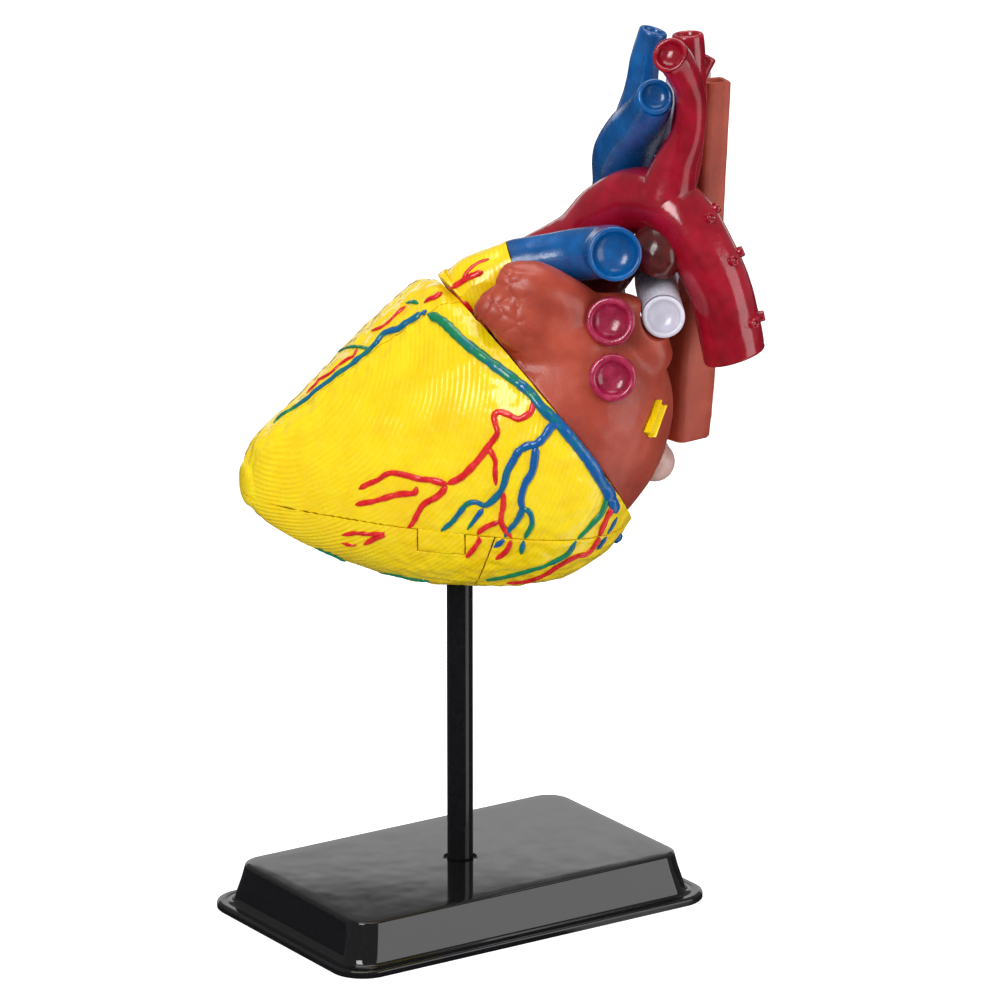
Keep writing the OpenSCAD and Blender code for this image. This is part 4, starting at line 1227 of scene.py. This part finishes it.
def make_esophagus():
    """A square bar with rounded corners, hollowed a little at its top."""
    rows = 60
    rings = []

    def bar_ring(c, r, turn, z, inset=0.0):
        pts = []
        for j in range(4):
            for s in np.linspace(-9, 9, 5):
                a = math.radians(45 + 90 * j + s + turn)
                bulge = 1 + 0.02 * math.cos(math.radians(10 * s))
                p = c + (r * bulge - inset) * vec(math.cos(a), math.sin(a), 0)
                p[2] = z
                pts.append(p)
            mid_a, mid_b = math.radians(45 + 90 * j + 9 + turn), math.radians(135 + 90 * j - 9 + turn)
            for f in (0.25, 0.5, 0.75):
                edge = (1 - f) * vec(math.cos(mid_a), math.sin(mid_a), 0) + f * vec(math.cos(mid_b), math.sin(mid_b), 0)
                p = c + (r - inset) * edge
                p[2] = z
                pts.append(p)
        return np.array(pts)

    for i in range(rows + 1):
        x, z, share, turn = curve(np.array(ESOPHAGUS), (len(ESOPHAGUS) - 1) * i / rows)
        c = vec(x, ESOPHAGUS_Y, z)
        r = ESOPHAGUS_W * share
        pts = bar_ring(c, r, turn, c[2])
        pts = np.array([p + unit(p - c) * 0.1 * lumps(p, 5.0, 9.0) for p in pts])
        if i == 0:
            rings.append(bar_ring(c, r, turn, c[2], 0.5))
            pts[:, 2] += 0.5
        if i == rows:
            pts[:, 2] -= 0.4
            rings.append(pts)
            rings += [bar_ring(c, r, turn, c[2], 0.35), bar_ring(c, r, turn, c[2] - 0.1, 1.3),
                      bar_ring(c, r, turn, c[2] - 0.9, 1.8)]
            break
        rings.append(pts)
    bm = bmesh.new()
    add_skin(bm, rings)
    finish_piece("esophagus_bar", bm, "esophagus", ["esophagus"], MAT["esophagus"], angle=50)


# ---------------------------------------------------------------- stand

BASE_LEN, BASE_WIDTH, BASE_H, BASE_WALL = 100.0, 64.0, 11.0, 2.0
EDGE_R = 0.7  # rounding of the top plate's edge


def rounded_rect(length, width, r, z, n=24):
    """A rounded rectangle of 4 * (n + 1) points, or a circle where r is half of both sides."""
    pts = []
    for j, (sx, sy) in enumerate(((1, 1), (-1, 1), (-1, -1), (1, -1))):
        for k in range(n + 1):
            a = math.radians(90 * (j + k / n))
            pts.append((sx * (length / 2 - r) + r * math.cos(a), sy * (width / 2 - r) + r * math.sin(a), z))
    return np.array(pts) @ TURN  # the stand keeps the row's own directions


def circle(r, z):
    return rounded_rect(2 * r, 2 * r, r, z)


def make_base():
    """One moulded tray turned upside down: flange, sloped sides, top plate and pole socket."""
    def band(inset, z, r):
        return rounded_rect(BASE_LEN - 2 * inset, BASE_WIDTH - 2 * inset, r, z)

    rings = [circle(0.02, 1.5), circle(3.05, 1.5), circle(3.05, BASE_H - 0.7), circle(3.2, BASE_H - 0.6),
             circle(3.75, BASE_H - 0.6), circle(3.9, BASE_H - 0.5), circle(3.9, BASE_H - 0.12),
             circle(4.05, BASE_H), circle(7, BASE_H)]
    rings += [band(9, BASE_H, 3.5), band(6.6, BASE_H, 4.9)]
    for a in (15, 30, 45, 60, 75):
        turn = math.radians(a)
        rings.append(band(6.0 - EDGE_R * math.sin(turn), BASE_H - EDGE_R * (1 - math.cos(turn)), 5.3 + 0.6 * a / 75))
    rings += [band(4.7, 7.5, 6.0), band(3.6, 3.2, 6.2), band(3.3, 2.2, 6.3), band(3.05, 1.85, 6.4),
              band(2.7, 1.68, 6.6), band(1.9, 1.66, 7.0), band(0.9, 1.75, 7.4), band(0.4, 1.7, 7.6),
              band(0.12, 1.5, 7.85), band(0.0, 1.2, 8.0), band(0.0, 0.25, 8.0), band(0.2, 0.0, 7.9)]
    rings += [band(4.8, 0.0, 5.0), band(5.2, 2.5, 4.8), band(7.4, BASE_H - BASE_WALL - 0.4, 3.6),
              band(8.0, BASE_H - BASE_WALL, 3.2), circle(6.3, BASE_H - BASE_WALL), circle(6.0, BASE_H - 2.4),
              circle(6.0, 0.3), circle(5.7, 0.0), circle(0.02, 0.0)]
    bm = bmesh.new()
    add_skin(bm, rings, cap_start=True, cap_end=True)
    bmesh.ops.remove_doubles(bm, verts=bm.verts, dist=0.001)
    finish_piece("base_tray", bm, "stand", ["stand_base"], MAT["black"], angle=35)


# ---------------------------------------------------------------- clip, inner nodes, stage


TONGUE_HALF = vec(3.8, 1.2, 1.6)


def make_clip():
    """The yellow locking tongue in the left atrium's slot."""
    bm = bmesh.new()
    bmesh.ops.create_cube(bm, size=1.0)
    half = TONGUE_HALF
    surface = CLIP_AT + 0.2 * CLIP_AXES[2]
    for v in bm.verts:
        local = np.array(v.co) * 2 * half
        v.co = Vector(surface + sum(a * c for a, c in zip(CLIP_AXES, local)))
    bmesh.ops.bevel(bm, geom=bm.edges[:], offset=0.35, segments=3, affect="EDGES")
    finish_piece("atrium_tongue", bm, "left_atrium", ["atrium_clip"], MAT["yellow"])


INNER = {
    "septum": "flesh",
    "valve_plate": "flesh",
    "mitral_valve": "pale",
    "tricuspid_valve": "pale",
    "aortic_valve": "crimson",
    "pulmonary_valve": "blue",
    "left_papillary_muscles": "brick",
    "right_papillary_muscles": "brick",
    "pole": "black",
}


def dress_nodes():
    """Materials of the CAD nodes that stay visible inside the heart."""
    for node, mat in INNER.items():
        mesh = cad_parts[node].data
        mesh.materials.clear()
        mesh.materials.append(MAT[mat])


# a bright part of the table that only gloss sees: its direction and how its edge fades
PATCH_SIDE = vec(0.93, -0.36, 0)
PATCH_COSINES = (0.93, 0.99)


def table_white():
    """A table that looks white to the camera, takes shadows and stays dark in reflections."""
    s = Shader("table_white")
    path = s.add("ShaderNodeLightPath")
    glossy = path.outputs["Is Glossy Ray"]
    place = s.add("ShaderNodeVectorMath", operation="NORMALIZE")
    s.link(s.coords, place.inputs[0])
    toward = s.add("ShaderNodeVectorMath", operation="DOT_PRODUCT")
    s.link(place.outputs["Vector"], toward.inputs[0])
    toward.inputs[1].default_value = to_row(unit(PATCH_SIDE)) / MM
    patch = s.add("ShaderNodeMapRange", interpolation_type="SMOOTHSTEP")
    for socket, value in zip(("From Min", "From Max"), PATCH_COSINES):
        patch.inputs[socket].default_value = value
    s.link(toward.outputs["Value"], patch.inputs["Value"])
    shine = s.mix(patch.outputs["Result"], (0.04, 0.04, 0.045, 1), (0.95, 0.95, 0.95, 1))
    s.base(s.mix(glossy, (0.8, 0.8, 0.8, 1), shine))
    s.set(Roughness=0.6)
    s.shader.inputs["Specular IOR Level"].default_value = 0.0
    s.shader.inputs["Emission Color"].default_value = (1, 1, 1, 1)
    s.link(s.math("MULTIPLY", path.outputs["Is Camera Ray"], 0.7), s.shader.inputs["Emission Strength"])
    return s.material


def make_stage():
    bm = bmesh.new()
    bmesh.ops.create_grid(bm, x_segments=8, y_segments=8, size=3.0)
    mesh = bpy.data.meshes.new("floor")
    bm.to_mesh(mesh)
    bm.free()
    floor = add_object("floor", mesh)
    mesh.materials.append(table_white())


def area_light(name, place, aim, size, power):
    data = bpy.data.lights.new(name, "AREA")
    data.shape = "RECTANGLE"
    data.size, data.size_y = size
    data.energy = power
    lamp = add_object(name, data)
    start, end = Vector(to_row(place)), Vector(to_row(aim))
    lamp.visible_camera = False
    lamp.location = start
    lamp.rotation_euler = (end - start).to_track_quat("-Z", "Y").to_euler()


# brightness of the surroundings as they light the model, and as its gloss reflects them
WORLD_FILL = 0.42
WORLD_SHINE = 0.17


def make_light():
    world = bpy.data.worlds.new("studio")
    bpy.context.scene.world = world
    world.use_nodes = True
    tree = world.node_tree
    background = tree.nodes["Background"]
    background.inputs["Color"].default_value = (1, 1, 1, 1)
    path = tree.nodes.new("ShaderNodeLightPath")

    def step(operation, a, b):
        node = tree.nodes.new("ShaderNodeMath")
        node.operation = operation
        for socket, value in zip(node.inputs, (a, b)):
            if isinstance(value, float):
                socket.default_value = value
            else:
                tree.links.new(value, socket)
        return node.outputs["Value"]

    extra = step("MULTIPLY", path.outputs["Is Camera Ray"], 1.0 - WORLD_FILL)
    less = step("MULTIPLY", path.outputs["Is Glossy Ray"], WORLD_FILL - WORLD_SHINE)
    strength = step("SUBTRACT", step("ADD", extra, WORLD_FILL), less)
    tree.links.new(strength, background.inputs["Strength"])
    area_light("key", vec(-350, -700, 620), vec(10, 0, 110), (0.35, 0.5), 4.6)
    area_light("side", vec(765, -337, 230), vec(20, 0, 80), (0.6, 0.5), 1.9)
    area_light("top", vec(60, 120, 800), vec(10, 0, 110), (0.6, 0.6), 2.8)
    area_light("back", vec(0, 900, 235), vec(0, 0, 60), (1.4, 0.2), 0.7)


make_camera()
make_base()
make_ventricles()
make_coronaries()
make_left_atrium()
make_right_atrium()
make_right_auricle()
make_outflow()
make_vessels()
make_stubs()
make_esophagus()
make_clip()
dress_nodes()
make_stage()
make_light()
bpy.context.scene.view_settings.view_transform = "Standard"
